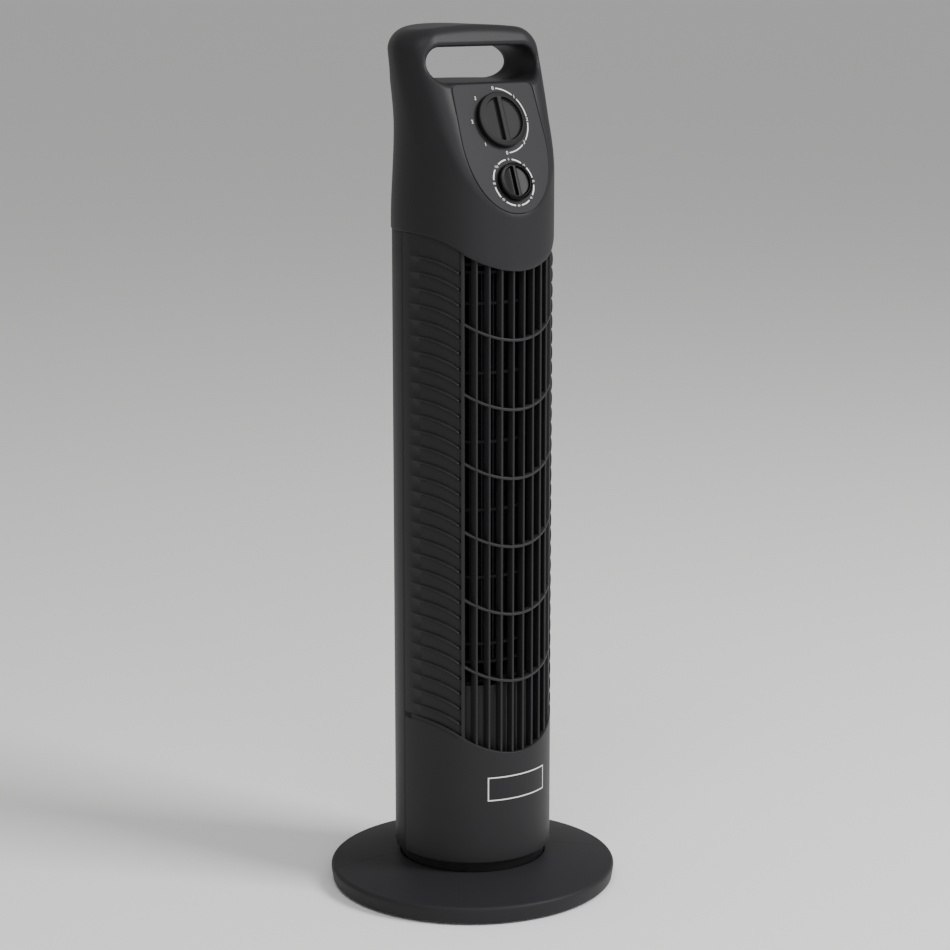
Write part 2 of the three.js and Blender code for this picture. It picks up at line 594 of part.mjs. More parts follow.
// ---------------------------------------------------------------- front grille
const GRILLE_RADIUS = COLUMN_RADIUS - FIN_INSET;
const RAIL_DEPTH = 5.4;
const RAIL_INNER = INNER_RADIUS - GAP - 3.4;
const fins = Array.from({ length: FIN_COUNT }, (_, i) => {
  const angle = (i - (FIN_COUNT - 1) / 2) * FIN_STEP;
  const front = polar(GRILLE_RADIUS, angle, 0);
  return block(
    [front.x - FIN_THICKNESS / 2, front.y + 0.3, skirtEdge(angle) - 4],
    [front.x + FIN_THICKNESS / 2, front.y + FIN_DEPTH, headEdge(angle) + 4],
  );
});
const bars = Array.from({ length: BAR_COUNT }, (_, i) => {
  const height = FIRST_BAR + i * BAR_PITCH;
  return arcWall({
    angles: spread(-FRAME_EDGE, FRAME_EDGE, 8),
    inner: GRILLE_RADIUS - RAIL_DEPTH,
    outer: GRILLE_RADIUS,
    low: (angle) => height + smile(angle) - BAR_HEIGHT / 2,
    high: (angle) => height + smile(angle) + BAR_HEIGHT / 2,
  });
});
const rail = (edge, low, high) => arcWall({
  angles: spread(-FRAME_EDGE, FRAME_EDGE, 8),
  inner: RAIL_INNER,
  outer: INNER_RADIUS - GAP,
  low: (angle) => edge(angle) + low,
  high: (angle) => edge(angle) + high,
});
const upright = arcWall({
  angles: spread(OPEN_HALF, FRAME_EDGE, 1),
  inner: RAIL_INNER,
  outer: GRILLE_RADIUS,
  low: OUTLET_BOTTOM + SMILE - 5,
  high: OUTLET_TOP + SMILE + 4,
});
const skirtClearance = arcWall({
  angles: spread(-FRAME_EDGE - 6, FRAME_EDGE + 6, 8),
  inner: INNER_RADIUS - GAP,
  outer: COLUMN_RADIUS + 4,
  low: OUTLET_BOTTOM - 20,
  high: (angle) => skirtEdge(angle) + GAP,
});
const headClearance = arcWall({
  angles: spread(-FRAME_EDGE - 6, FRAME_EDGE + 6, 8),
  inner: INNER_RADIUS - GAP,
  outer: COLUMN_RADIUS + 4,
  low: (angle) => headEdge(angle) - GAP - 1,
  high: OUTLET_TOP + 40,
});
const grille = cut(
  join(
    rail(skirtEdge, -5, -1),
    rail(headEdge, 1, 5),
    upright,
    upright.mirror([1, 0, 0]),
    ...bars,
    ...fins,
  ),
  skirtClearance,
  headClearance,
);
place("front_grille", grille, CHARCOAL);

const BLANK_RADIUS = GRILLE_RADIUS - FIN_DEPTH - 2;
const blankingPlate = arcWall({
  angles: spread(-FRAME_EDGE, FRAME_EDGE, 8),
  inner: BLANK_RADIUS - 2,
  outer: BLANK_RADIUS,
  low: OUTLET_BOTTOM - 4,
  high: MOTOR_DECK - GAP,
});
place("blanking_plate", blankingPlate, CHARCOAL);

// ---------------------------------------------------------------- head with handle
const SHELL_FROM = HEAD_EDGE + 4; // the head is a plain round wall below this height
const FACE_SLOPE = Math.tan(THREE.MathUtils.degToRad(FACE_LEAN));
const faceY = (height) => -(COLUMN_RADIUS - FACE_SLOPE * (height - FACE_START));
const headRadius = (height, angle) => {
  const back = smooth(50, 120, fromFront(angle));
  const waist = back * (HEAD_RADIUS - HEAD_WAIST) * smooth(SHELL_FROM, CROWN_FROM, height);
  const crown = HEAD_CROWN - HEAD_RADIUS + back * (HEAD_RADIUS - HEAD_WAIST);
  return HEAD_RADIUS - waist + crown * smooth(CROWN_FROM, CROWN_TO, height);
};
const roundedInset = (rounding, below) =>
  below >= rounding ? 0 : rounding - Math.sqrt(rounding ** 2 - (rounding - below) ** 2);

// The lesser of two distances, with the corner between them rounded off.
function softMin(one, other, blend) {
  const overlap = Math.max(0, blend - Math.abs(one - other)) / blend;
  return Math.min(one, other) - (overlap ** 2 * blend) / 4;
}

// One level outline of the head. inset moves every wall inwards. The points are spread about a
// middle that moves back with height, because the face comes close to the swing axis at the top.
function headOutline(height, inset, top, sides) {
  const below = top - height;
  const drawIn = roundedInset(TOP_ROUND, below);
  const side = SIDE_FACE_REACH - SIDE_FACE_SLOPE * (height - SIDE_FACE_START) - inset - drawIn;
  const flat = -faceY(height) - inset / Math.cos(THREE.MathUtils.degToRad(FACE_LEAN));
  const front = flat - roundedInset(TOP_ROUND_FRONT, below);
  const blend = Math.min(10, Math.max(1, (height - FACE_START + 10) * 0.12));
  const middle = (HEAD_CROWN / 3) * smooth(FACE_START, HANDLE_LOW, height);
  return Array.from({ length: sides }, (_, i) => {
    const angle = (i * 360) / sides;
    const facing = Math.cos(THREE.MathUtils.degToRad(angle));
    const round = headRadius(height, angle) - inset - drawIn;
    const toFace = facing > 0.01 ? (middle + front) / facing : Infinity;
    const toRound = middle * facing + Math.sqrt(round ** 2 - middle ** 2 * (1 - facing ** 2));
    const away = THREE.MathUtils.degToRad(SIDE_FACE_ANGLE);
    const sideways = Math.cos(away - THREE.MathUtils.degToRad(fromFront(angle)));
    const toSide = sideways > 0.2 ? (side + middle * Math.cos(away)) / sideways : Infinity;
    const radius = softMin(softMin(toRound, toSide, blend), toFace, blend);
    const point = polar(radius, angle, height);
    point.y += middle;
    const arch = TOP_ARCH * (point.x / HEAD_CROWN) ** 2;
    point.z -= arch * smooth(HANDLE_LOW, TOTAL_HEIGHT, height);
    return point;
  });
}

const HEAD_SIDES = 36;
function headSolid(inset, bottom, top) {
  const steps = [bottom, SHELL_FROM, FACE_START, FACE_START + 17, FACE_START + 42, CROWN_FROM, CROWN_FROM + 25, CROWN_FROM + 45];
  const caps = [18, 12, 7, 3.5, 1.2, 0].map((below) => top - below);
  const heights = [...steps, ...caps];
  return loft(heights.map((height) => headOutline(height, inset, top, HEAD_SIDES)), true);
}

// The grip opening, from front to back. grow moves its walls outwards.
function gripTunnel(grow) {
  const half = HANDLE_HALF + grow;
  const [low, high] = [HANDLE_LOW - grow, HANDLE_HIGH + grow];
  const corner = HANDLE_CORNER + grow;
  const outline = new THREE.Shape();
  outline.moveTo(-half + corner, low);
  outline.lineTo(half - corner, low);
  outline.absarc(half - corner, low + corner, corner, -Math.PI / 2, 0);
  outline.lineTo(half, high - corner);
  outline.absarc(half - corner, high - corner, corner, 0, Math.PI / 2);
  outline.lineTo(-half + corner, high);
  outline.absarc(-half + corner, high - corner, corner, Math.PI / 2, Math.PI);
  outline.lineTo(-half, low + corner);
  outline.absarc(-half + corner, low + corner, corner, Math.PI, 1.5 * Math.PI);
  const length = 4 * HEAD_CROWN;
  const options = { depth: length, bevelEnabled: false, curveSegments: 3 };
  const along = new THREE.ExtrudeGeometry(outline, options).rotateX(Math.PI / 2);
  return toSolid(along.translate(0, length / 2, 0));
}

// The sloping face has its own frame: X sideways, Y up the face, Z out of it.
const faceGroup = new THREE.Group();
faceGroup.position.set(0, -COLUMN_RADIUS, FACE_START);
faceGroup.rotation.x = THREE.MathUtils.degToRad(90 - FACE_LEAN);
fan.add(faceGroup);
const onFace = (solid) => solid.rotate([90 - FACE_LEAN, 0, 0]).translate([0, -COLUMN_RADIUS, FACE_START]);

function panelOutline(grow) {
  const half = PANEL_HALF + grow;
  const top = PANEL_TOP + grow;
  const corner = 6;
  const outline = new THREE.Shape();
  outline.moveTo(0, -grow);
  outline.bezierCurveTo(half * 0.62, -grow, half, PANEL_SHOULDER * 0.45, half, PANEL_SHOULDER);
  outline.lineTo(half - 1.5, top - corner);
  outline.quadraticCurveTo(half - 1.8, top, half - 1.8 - corner, top);
  outline.lineTo(-half + 1.8 + corner, top);
  outline.quadraticCurveTo(-half + 1.8, top, -half + 1.5, top - corner);
  outline.lineTo(-half, PANEL_SHOULDER);
  outline.bezierCurveTo(-half, PANEL_SHOULDER * 0.45, -half * 0.62, -grow, 0, -grow);
  return outline;
}
const slab = (outline, low, high, segments) => {
  const options = { depth: high - low, bevelEnabled: false, curveSegments: segments };
  return toSolid(new THREE.ExtrudeGeometry(outline, options).translate(0, 0, low));
};

const KNOB_PLACES = [SPEED_KNOB_PLACE, TIMER_KNOB_PLACE];
const SPINDLE_HOLE = SPINDLE_RADIUS + 0.8;
const headSkirt = arcWall({
  angles: spread(0, 360, HEAD_SIDES),
  inner: HEAD_RADIUS - WALL,
  outer: HEAD_RADIUS,
  low: headEdge,
  high: SHELL_FROM - 2,
});
const headHollow = headSolid(WALL, SHELL_FROM - 8, TOTAL_HEIGHT - WALL);
const headShell = cut(
  headSolid(0, SHELL_FROM - 2, TOTAL_HEIGHT),
  cut(headHollow, gripTunnel(WALL)),
  gripTunnel(0),
  onFace(slab(panelOutline(GAP), -PANEL_THICKNESS - GAP, 6, 5)),
  ...KNOB_PLACES.map((spot) => onFace(disc(SPINDLE_HOLE, -8, 6, 16).translate([0, spot, 0]))),
);
place("head_shell", join(headShell, headSkirt), CHARCOAL);

const panel = cut(
  slab(panelOutline(0), -PANEL_THICKNESS, 0, 5),
  ...KNOB_PLACES.map((spot) => disc(SPINDLE_HOLE, -8, 6, 16).translate([0, spot, 0])),
);
place("control_panel", panel, PANEL_GREY, faceGroup);

// ---------------------------------------------------------------- knobs, switch and timer
function knob(radius, height) {
  const body = turned([
    [0, 0],
    [radius, 0],
    [radius - 0.4, height * 0.75],
    [radius - 2.2, height],
    [0, height],
  ], 24);
  const bladeHalf = radius * 0.12;
  const scoop = radius * 0.78;
  const pocket = disc(scoop, height * POCKET_FLOOR, height + 1, 20);
  const side = block([bladeHalf, -scoop, height * POCKET_FLOOR], [scoop, scoop, height + 1]);
  const pockets = join(pocket.intersect(side), pocket.intersect(side.mirror([1, 0, 0])));
  return cut(body, pockets, disc(SPINDLE_RADIUS + GAP, -1, height * SPINDLE_REACH, 10));
}
const spindle = (height) => disc(SPINDLE_RADIUS, -WALL - PANEL_THICKNESS + 0.2, height * SPINDLE_REACH, 10);
const control = (radius, height, spot, name) => {
  const lift = 0.5;
  place(name + "_knob", knob(radius, height).translate([0, spot, lift]), KNOB_BLACK, faceGroup);
  place(name + "_spindle", spindle(height).translate([0, spot, 0]), STEEL, faceGroup);
};
control(SPEED_KNOB_RADIUS, SPEED_KNOB_HEIGHT, SPEED_KNOB_PLACE, "speed");
control(TIMER_KNOB_RADIUS, TIMER_KNOB_HEIGHT, TIMER_KNOB_PLACE, "timer");

const behind = -WALL - PANEL_THICKNESS;
const squareBody = (size, depth, spot) =>
  block([-size / 2, spot - size / 2, behind - depth], [size / 2, spot + size / 2, behind]);
place("rotary_switch", squareBody(SWITCH_SIZE, SWITCH_DEPTH, SPEED_KNOB_PLACE), ACETAL, faceGroup);
const timerBody = join(
  squareBody(TIMER_SIZE, TIMER_DEPTH, TIMER_KNOB_PLACE),
  disc(11, behind - TIMER_DEPTH - 6, behind - TIMER_DEPTH + 1, 20).translate([0, TIMER_KNOB_PLACE, 0]),
);
place("timer_unit", timerBody, STEEL, faceGroup);

// ---------------------------------------------------------------- impeller and its shaft
function impellerSolid() {
  const blades = Array.from({ length: BLADE_COUNT }, (_, i) => {
    const blade = block(
      [-BLADE_THICKNESS / 2, IMPELLER_RADIUS - BLADE_DEPTH, IMPELLER_BOTTOM + 1],
      [BLADE_THICKNESS / 2, IMPELLER_RADIUS - 0.8, IMPELLER_TOP - 1],
    );
    const leant = blade.translate([0, -IMPELLER_RADIUS, 0]).rotate([0, 0, 30]);
    return leant.translate([0, IMPELLER_RADIUS, 0]).rotate([0, 0, (i * 360) / BLADE_COUNT]);
  });
  const middles = Array.from({ length: BAR_COUNT }, (_, i) => FIRST_BAR + (i + 0.5) * BAR_PITCH);
  const rings = middles.map((height) =>
    ring(
      IMPELLER_RADIUS - BLADE_DEPTH - 2,
      IMPELLER_RADIUS,
      height - DISC_THICKNESS / 2,
      height + DISC_THICKNESS / 2,
      IMPELLER_SIDES,
    ));
  return join(
    ring(COUPLING_RADIUS + GAP, IMPELLER_RADIUS, IMPELLER_BOTTOM, IMPELLER_BOTTOM + DISC_THICKNESS, IMPELLER_SIDES),
    disc(IMPELLER_RADIUS, IMPELLER_TOP - DISC_THICKNESS, IMPELLER_TOP, IMPELLER_SIDES),
    ...blades,
    ...rings,
  );
}
place("impeller", impellerSolid(), INNER_BLACK);

const COUPLING_BOTTOM = IMPELLER_BOTTOM - 9;
const COUPLING_TOP = IMPELLER_BOTTOM + DISC_THICKNESS + 3;
const SHAFT_TOP = COUPLING_TOP - 3;
const STATOR_TOP = STATOR_BOTTOM + STATOR_HEIGHT;
const LOWER_BRACKET = STATOR_BOTTOM - BRACKET_STANDOFF;
const UPPER_BRACKET = STATOR_TOP + BRACKET_STANDOFF;
const BUSH_HEIGHT = 9;
const SHAFT_BOTTOM = LOWER_BRACKET - BUSH_HEIGHT / 2 - 2;
const coupling = cut(
  disc(COUPLING_RADIUS, COUPLING_BOTTOM, COUPLING_TOP, 24),
  disc(SHAFT_RADIUS + GAP, COUPLING_BOTTOM - 1, SHAFT_TOP + GAP, 16),
);
place("shaft_coupling", coupling, INNER_BLACK);
place("motor_shaft", disc(SHAFT_RADIUS, SHAFT_BOTTOM, SHAFT_TOP, 16), STEEL);

const ROTOR_BOTTOM = (STATOR_BOTTOM + STATOR_TOP - ROTOR_HEIGHT) / 2;
place("motor_rotor", ring(SHAFT_RADIUS + GAP, ROTOR_RADIUS, ROTOR_BOTTOM, ROTOR_BOTTOM + ROTOR_HEIGHT, 24), IRON);

const windings = [0, 90, 180, 270].map((turn) =>
  block([-11, ROTOR_RADIUS + 4, STATOR_BOTTOM - 7], [11, STATOR_RADIUS - 5, STATOR_TOP + 7])
    .rotate([0, 0, turn]));
const stator = join(
  ring(ROTOR_RADIUS + 0.7, STATOR_RADIUS, STATOR_BOTTOM, STATOR_TOP, 24),
  ...windings,
);
place("motor_stator", stator, IRON);

// A bracket holds a bush on the shaft, and four pillars join it to the stator.
function motorBracket(height, towards) {
  const plate = ring(SHAFT_RADIUS + 5 + GAP, BRACKET_RADIUS, height - 1.5, height + 1.5, 20);
  const reach = towards * (BRACKET_STANDOFF - GAP);
  const [low, high] = [Math.min(height, height + reach), Math.max(height, height + reach)];
  const pillars = [45, 135, 225, 315].map((turn) => {
    const spot = polar(STATOR_RADIUS - 4, turn, 0);
    return disc(3.2, low, high, 8).translate([spot.x, spot.y, 0]);
  });
  return join(plate, ...pillars);
}
place("motor_lower_bracket", motorBracket(LOWER_BRACKET, 1), STEEL);
place("motor_upper_bracket", motorBracket(UPPER_BRACKET, -1), STEEL);
const bush = (height) =>
  ring(SHAFT_RADIUS + GAP, SHAFT_RADIUS + 5, height - BUSH_HEIGHT / 2, height + BUSH_HEIGHT / 2, 20);
place("motor_lower_bush", bush(LOWER_BRACKET), BRONZE);
place("motor_upper_bush", bush(UPPER_BRACKET), BRONZE);

const deckHole = disc(COUPLING_RADIUS + 3, MOTOR_DECK - 1, MOTOR_DECK + 4, 24);
const shelfRadius = panelRadius(RIB_INNER_ANGLE) - WALL - GAP;
const deckEdge = polar(RAIL_INNER - GAP, FRAME_EDGE, 0).y;
const deckFront = block([-80, -80, 0], [80, deckEdge, TOTAL_HEIGHT]);
const motorDeck = cut(disc(shelfRadius, MOTOR_DECK, MOTOR_DECK + 3, 36), deckHole, deckFront);
place("motor_deck", motorDeck, INNER_BLACK);

const STUB_TOP = IMPELLER_TOP + 18;
const topStub = join(
  disc(9, IMPELLER_TOP + GAP, IMPELLER_TOP + 2.5, 20),
  disc(STUB_RADIUS, IMPELLER_TOP + GAP, STUB_TOP, 16),
);
place("impeller_stub", topStub, STEEL);
const TOP_BEARING = IMPELLER_TOP + 6;
place("top_bush", ring(STUB_RADIUS + GAP, 7, TOP_BEARING, TOP_BEARING + 8, 20), BRONZE);
const topBracket = turned([
  [7 + GAP, TOP_BEARING - 1],
  [BLANK_RADIUS - 2, TOP_BEARING - 1],
  [BLANK_RADIUS - 2, TOP_BEARING + 1.5],
  [10.5, TOP_BEARING + 1.5],
  [10.5, TOP_BEARING + 9],
  [7 + GAP, TOP_BEARING + 9],
  [7 + GAP, TOP_BEARING - 1],
], 20);
place("top_bearing_bracket", topBracket, INNER_BLACK);

// ---------------------------------------------------------------- air guides
const GUIDE_LOW = MOTOR_DECK + 3 + GAP;
const GUIDE_HIGH = TOP_BEARING - 1 - GAP;
const scroll = (angle) => {
  const reach = (angle - FRAME_EDGE) / (150 - FRAME_EDGE);
  return shelfRadius - 1 - (shelfRadius - 1 - IMPELLER_RADIUS - 4) * reach ** 1.2;
};
const airGuide = arcWall({
  angles: spread(FRAME_EDGE, 150, 14),
  inner: (angle) => scroll(angle) - AIR_GUIDE_WALL,
  outer: scroll,
  low: GUIDE_LOW,
  high: GUIDE_HIGH,
});
place("air_guide", airGuide, INNER_BLACK);
const tongue = (angle) => {
  const reach = (-angle - FRAME_EDGE) / (80 - FRAME_EDGE);
  return shelfRadius - 1 - (shelfRadius - 1 - IMPELLER_RADIUS - 4) * reach ** 0.8;
};
const airTongue = arcWall({
  angles: spread(-80, -FRAME_EDGE, 6),
  inner: (angle) => tongue(angle) - AIR_GUIDE_WALL,
  outer: tongue,
  low: GUIDE_LOW,
  high: GUIDE_HIGH,
});
place("air_tongue", airTongue, INNER_BLACK);

export default fan;
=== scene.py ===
# %% [markdown]
# # A tower fan in moulded plastic
# This file dresses a working model of a tower fan: a round column that swings on a two-piece base,
# with a curved grille, ribbed sides, a carrying grip and two knobs on a sloping panel. The working
# model is already in metres with +Z up and the column's front towards -Y, so each cell below only
# makes a finer surface for one of its pieces, or gives a piece its finish.

# %% The frame
import json
import math

import bmesh
import bpy
import numpy as np
from mathutils import Matrix, Vector


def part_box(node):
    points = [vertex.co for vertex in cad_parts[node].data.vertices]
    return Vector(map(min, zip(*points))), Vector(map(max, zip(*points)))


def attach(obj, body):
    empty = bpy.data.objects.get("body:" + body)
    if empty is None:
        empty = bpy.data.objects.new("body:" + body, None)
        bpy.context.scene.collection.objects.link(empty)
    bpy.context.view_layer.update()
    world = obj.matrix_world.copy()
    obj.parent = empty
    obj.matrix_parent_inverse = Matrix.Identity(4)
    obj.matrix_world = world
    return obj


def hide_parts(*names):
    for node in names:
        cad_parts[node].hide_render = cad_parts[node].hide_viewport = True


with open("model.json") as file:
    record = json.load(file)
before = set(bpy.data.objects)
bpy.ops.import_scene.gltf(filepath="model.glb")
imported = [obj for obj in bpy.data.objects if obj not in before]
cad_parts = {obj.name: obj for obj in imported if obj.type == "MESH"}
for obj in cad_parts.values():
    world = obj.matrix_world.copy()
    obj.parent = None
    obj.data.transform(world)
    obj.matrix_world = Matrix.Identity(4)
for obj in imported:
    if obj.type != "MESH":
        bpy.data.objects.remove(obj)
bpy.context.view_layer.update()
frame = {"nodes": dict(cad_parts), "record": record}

# %% [markdown]
# The helpers work in millimetres, because the sizes of a moulding are easier to read that way, and
# turn to metres when a mesh is made. Angles are in degrees from the front of the column, positive
# towards +X. A skin is a sheet of quads through rows of points, which is how a loft is made by hand.

# %% Helpers for meshes
MM = 0.001
SMOOTH_ANGLE = math.radians(35)


def polar(radius, angle, height):
    turn = np.radians(angle)
    return np.stack(np.broadcast_arrays(radius * np.sin(turn), -radius * np.cos(turn), height), -1)


def smooth(low, high, value):
    t = np.clip((value - low) / (high - low), 0, 1)
    return t * t * (3 - 2 * t)


def skin_faces(rows, columns, start=0, around=False):
    """Quads of a grid of points, row after row. around joins the last column to the first."""
    faces = []
    for i in range(rows - 1):
        for j in range(columns if around else columns - 1):
            k = (j + 1) % columns
            a, b = start + i * columns + j, start + i * columns + k
            faces.append((a, b, b + columns, a + columns))
    return faces


def make_piece(name, points, faces, material, smooth_angle=SMOOTH_ANGLE):
    """A mesh object at the origin, from points in millimetres, with its normals outward."""
    mesh = bpy.data.meshes.new(name)
    mesh.from_pydata((np.asarray(points, float) * MM).tolist(), [], faces)
    bm = bmesh.new()
    bm.from_mesh(mesh)
    bmesh.ops.remove_doubles(bm, verts=bm.verts, dist=0.00001)
    bmesh.ops.recalc_face_normals(bm, faces=bm.faces)
    bm.to_mesh(mesh)
    bm.free()
    piece = bpy.data.objects.new(name, mesh)
    bpy.context.scene.collection.objects.link(piece)
    piece.data.materials.append(material)
    soften(piece, smooth_angle)
    return piece


def soften(piece, angle=SMOOTH_ANGLE):
    """Smooth shading, kept sharp at edges over the given angle."""
    piece.data.shade_smooth()
    piece.data.set_sharp_from_angle(angle=angle)


def use(piece, kind, **settings):
    """Adds a modifier with its settings."""
    modifier = piece.modifiers.new(kind.title(), kind)
    for key, value in settings.items():
        setattr(modifier, key, value)
    return modifier


def bake(piece, smooth_angle=SMOOTH_ANGLE):
    """Turns a piece's modifiers into plain mesh."""
    bpy.context.view_layer.update()
    shaped = piece.evaluated_get(bpy.context.evaluated_depsgraph_get())
    mesh = bpy.data.meshes.new_from_object(shaped)
    piece.modifiers.clear()
    old = piece.data
    piece.data = mesh
    bpy.data.meshes.remove(old)
    soften(piece, smooth_angle)
    return piece


def dress(piece, body, slot, *nodes):
    """Fixes a piece to its body and hides the nodes it replaces. The slot, the name of its finish, is not
    used.
    """
    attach(piece, body)
    if nodes:
        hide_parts(*nodes)
    print(f"{piece.name}: {len(piece.data.polygons)} faces on {body}")
    return piece


def closed_sheet(outer, inner):
    """Points and faces of a wall between two grids of the same shape, with its rim closed."""
    rows, columns = outer.shape[:2]
    count = rows * columns
    points = np.concatenate([outer.reshape(-1, 3), inner.reshape(-1, 3)])
    faces = skin_faces(rows, columns) + [f[::-1] for f in skin_faces(rows, columns, count)]
    rim = list(range(columns))
    rim += [r * columns + columns - 1 for r in range(1, rows)]
    rim += [(rows - 1) * columns + j for j in range(columns - 2, -1, -1)]
    rim += [r * columns for r in range(rows - 2, 0, -1)]
    for a, b in zip(rim, rim[1:] + rim[:1]):
        faces.append((a, a + count, b + count, b))
    return points, faces


def lathe(profile, sides=64, centre=(0, 0, 0)):
    """Points and faces of a solid turned about Z. The profile starts and ends on the axis."""
    profile = np.array(profile, float)
    turns = np.linspace(0, 360, sides, endpoint=False)
    grid = np.stack([polar(profile[:, 0], turn, profile[:, 1]) for turn in turns], 1)
    return grid.reshape(-1, 3) + np.array(centre), skin_faces(len(profile), sides, around=True)


def merge(parts):
    """Joins several (points, faces) pairs into one."""
    points, faces, start = [], [], 0
    for part_points, part_faces in parts:
        points.append(part_points)
        faces += [tuple(i + start for i in face) for face in part_faces]
        start += len(part_points)
    return np.concatenate(points), faces


# %% [markdown]
# Colours are written as sRGB hex, the way a colour picker shows them, and one function turns them to
# the linear values that a shader needs. Another adds a node with its settings and links, so that each
# finish reads as a short list.

# %% Helpers for materials
def linear(hexcode):
    parts = [int(hexcode[i : i + 2], 16) / 255 for i in (1, 3, 5)]
    return tuple(p / 12.92 if p <= 0.04045 else ((p + 0.055) / 1.055) ** 2.4 for p in parts) + (1.0,)


def add_node(home, kind, links=None, **settings):
    """Adds a node to a material or a tree. Settings name its sockets or fields, links feed its sockets."""
    tree = getattr(home, "node_tree", home)
    node = tree.nodes.new(kind)
    for key, value in settings.items():
        if key in node.inputs:
            node.inputs[key].default_value = value
        else:
            setattr(node, key, value)
    for key, source in (links or {}).items():
        tree.links.new(source, node.inputs[key])
    return node


def start_material(name, **shader_settings):
    """An empty material with its shader and Object coordinates, which hold in every view."""
    material = bpy.data.materials.new(name)
    material.use_nodes = True
    material.node_tree.nodes.clear()
    shader = add_node(material, "ShaderNodeBsdfPrincipled")
    for key, value in shader_settings.items():
        shader.inputs[key.replace("_", " ")].default_value = value
    output = add_node(material, "ShaderNodeOutputMaterial")
    material.node_tree.links.new(shader.outputs["BSDF"], output.inputs["Surface"])
    place = add_node(material, "ShaderNodeTexCoord").outputs["Object"]
    return material, shader, place


TONE_PATCHES_PER_METRE = 9.0
ABS_IOR = 1.53


def textured_plastic(name, hexcode, lighter, roughness, grain_mm, depth_mm, spread=0.06, shine=0.5):
    """Moulded plastic: the tool's spark-eroded grain as bump, with slow changes of tone and gloss."""
    material, shader, place = start_material(
        name, Base_Color=linear(hexcode), Roughness=roughness, IOR=ABS_IOR
    )
    shader.inputs["Specular IOR Level"].default_value = shine
    per_metre = 1 / (grain_mm * MM)
    grain = add_node(material, "ShaderNodeTexNoise", {"Vector": place}, Scale=per_metre, Detail=2.0)
    patches = TONE_PATCHES_PER_METRE
    drift = add_node(material, "ShaderNodeTexNoise", {"Vector": place}, Scale=patches, Detail=3.0)
    tone = add_node(material, "ShaderNodeMix", {"Factor": drift.outputs["Fac"]}, data_type="RGBA")
    tone.inputs["A"].default_value = linear(hexcode)
    tone.inputs["B"].default_value = linear(lighter)
    gloss = add_node(material, "ShaderNodeMapRange", {"Value": grain.outputs["Fac"]})
    gloss.inputs["To Min"].default_value = roughness - spread
    gloss.inputs["To Max"].default_value = roughness + spread
    bump = add_node(material, "ShaderNodeBump", {"Height": grain.outputs["Fac"]}, Distance=depth_mm * MM)
    bump.inputs["Strength"].default_value = 1.0
    links = material.node_tree.links
    links.new(tone.outputs["Result"], shader.inputs["Base Color"])
    links.new(gloss.outputs["Result"], shader.inputs["Roughness"])
    links.new(bump.outputs["Normal"], shader.inputs["Normal"])
    return material


# %% [markdown]
# The fan is nearly all ABS, moulded in charcoal. The outer mouldings come from a tool with a fine
# spark-eroded texture, which breaks up reflections and gives a soft satin. The grain is about 0.4 mm
# across, drawn at 0.7 mm so that it still shows. The base is a little more matt than the column, the
# panel is a lighter grey with no shine, and the grille catches thin highlights. The polypropylene
# inside swallows light. The large knob is satin black, acetal is waxy white, and rubber is dull.

# %% Plastics
CHARCOAL = textured_plastic("charcoal_abs_moulded", "#212022", "#252426", 0.46, 0.7, 0.035, shine=0.18)
CHARCOAL_BASE = textured_plastic("charcoal_abs_base", "#262527", "#2a292b", 0.5, 0.8, 0.02, shine=0.12)
PANEL_GREY = textured_plastic("panel_grey_abs", "#282729", "#2c2b2d", 0.58, 0.6, 0.03, shine=0.15)
GRILLE_BLACK = textured_plastic("charcoal_abs_grille", "#242325", "#282729", 0.45, 0.7, 0.02, shine=0.2)
INNER_BLACK = textured_plastic("black_polypropylene", "#070708", "#0a0a0b", 0.55, 0.9, 0.03, shine=0.2)
KNOB_BLACK = textured_plastic("knob_black_abs", "#0c0c0d", "#101011", 0.55, 0.6, 0.012, 0.03, shine=0.2)
ACETAL = textured_plastic("natural_acetal", "#dedbd0", "#e6e3d9", 0.42, 1.2, 0.01, 0.03)
RUBBER = textured_plastic("foot_rubber", "#121212", "#181818", 0.82, 0.9, 0.05, shine=0.3)

# %% [markdown]
# The small knob is smooth black styrene. It is darker and shinier than the large one, with a soft
# highlight. The only grain on it is a faint flow ripple from moulding, about four millimetres long.

# %% Polished black
RIPPLES_PER_METRE, RIPPLE_DEPTH = 260.0, 0.00002


def polished_black(name):
    material, shader, place = start_material(
        name, Base_Color=linear("#060607"), Roughness=0.3, IOR=1.5, Specular_IOR_Level=0.1
    )
    ripple = add_node(material, "ShaderNodeTexNoise", {"Vector": place}, Scale=RIPPLES_PER_METRE, Detail=1.0)
    bump = add_node(material, "ShaderNodeBump", {"Height": ripple.outputs["Fac"]}, Distance=RIPPLE_DEPTH)
    material.node_tree.links.new(bump.outputs["Normal"], shader.inputs["Normal"])
    return material


GLOSS_BLACK = polished_black("polished_styrene")

# %% [markdown]
# Zinc plate, oiled sintered bronze and varnished laminations are inside. Steel is marked by its
# rolling, so its grain runs one way: a noise stretched along Z. Bronze has an even, porous grain, and
# the laminations show as fine lines across the stack.

# %% Metals
ROLLING_PER_METRE, ROLLING_DEPTH = 900.0, 0.00003


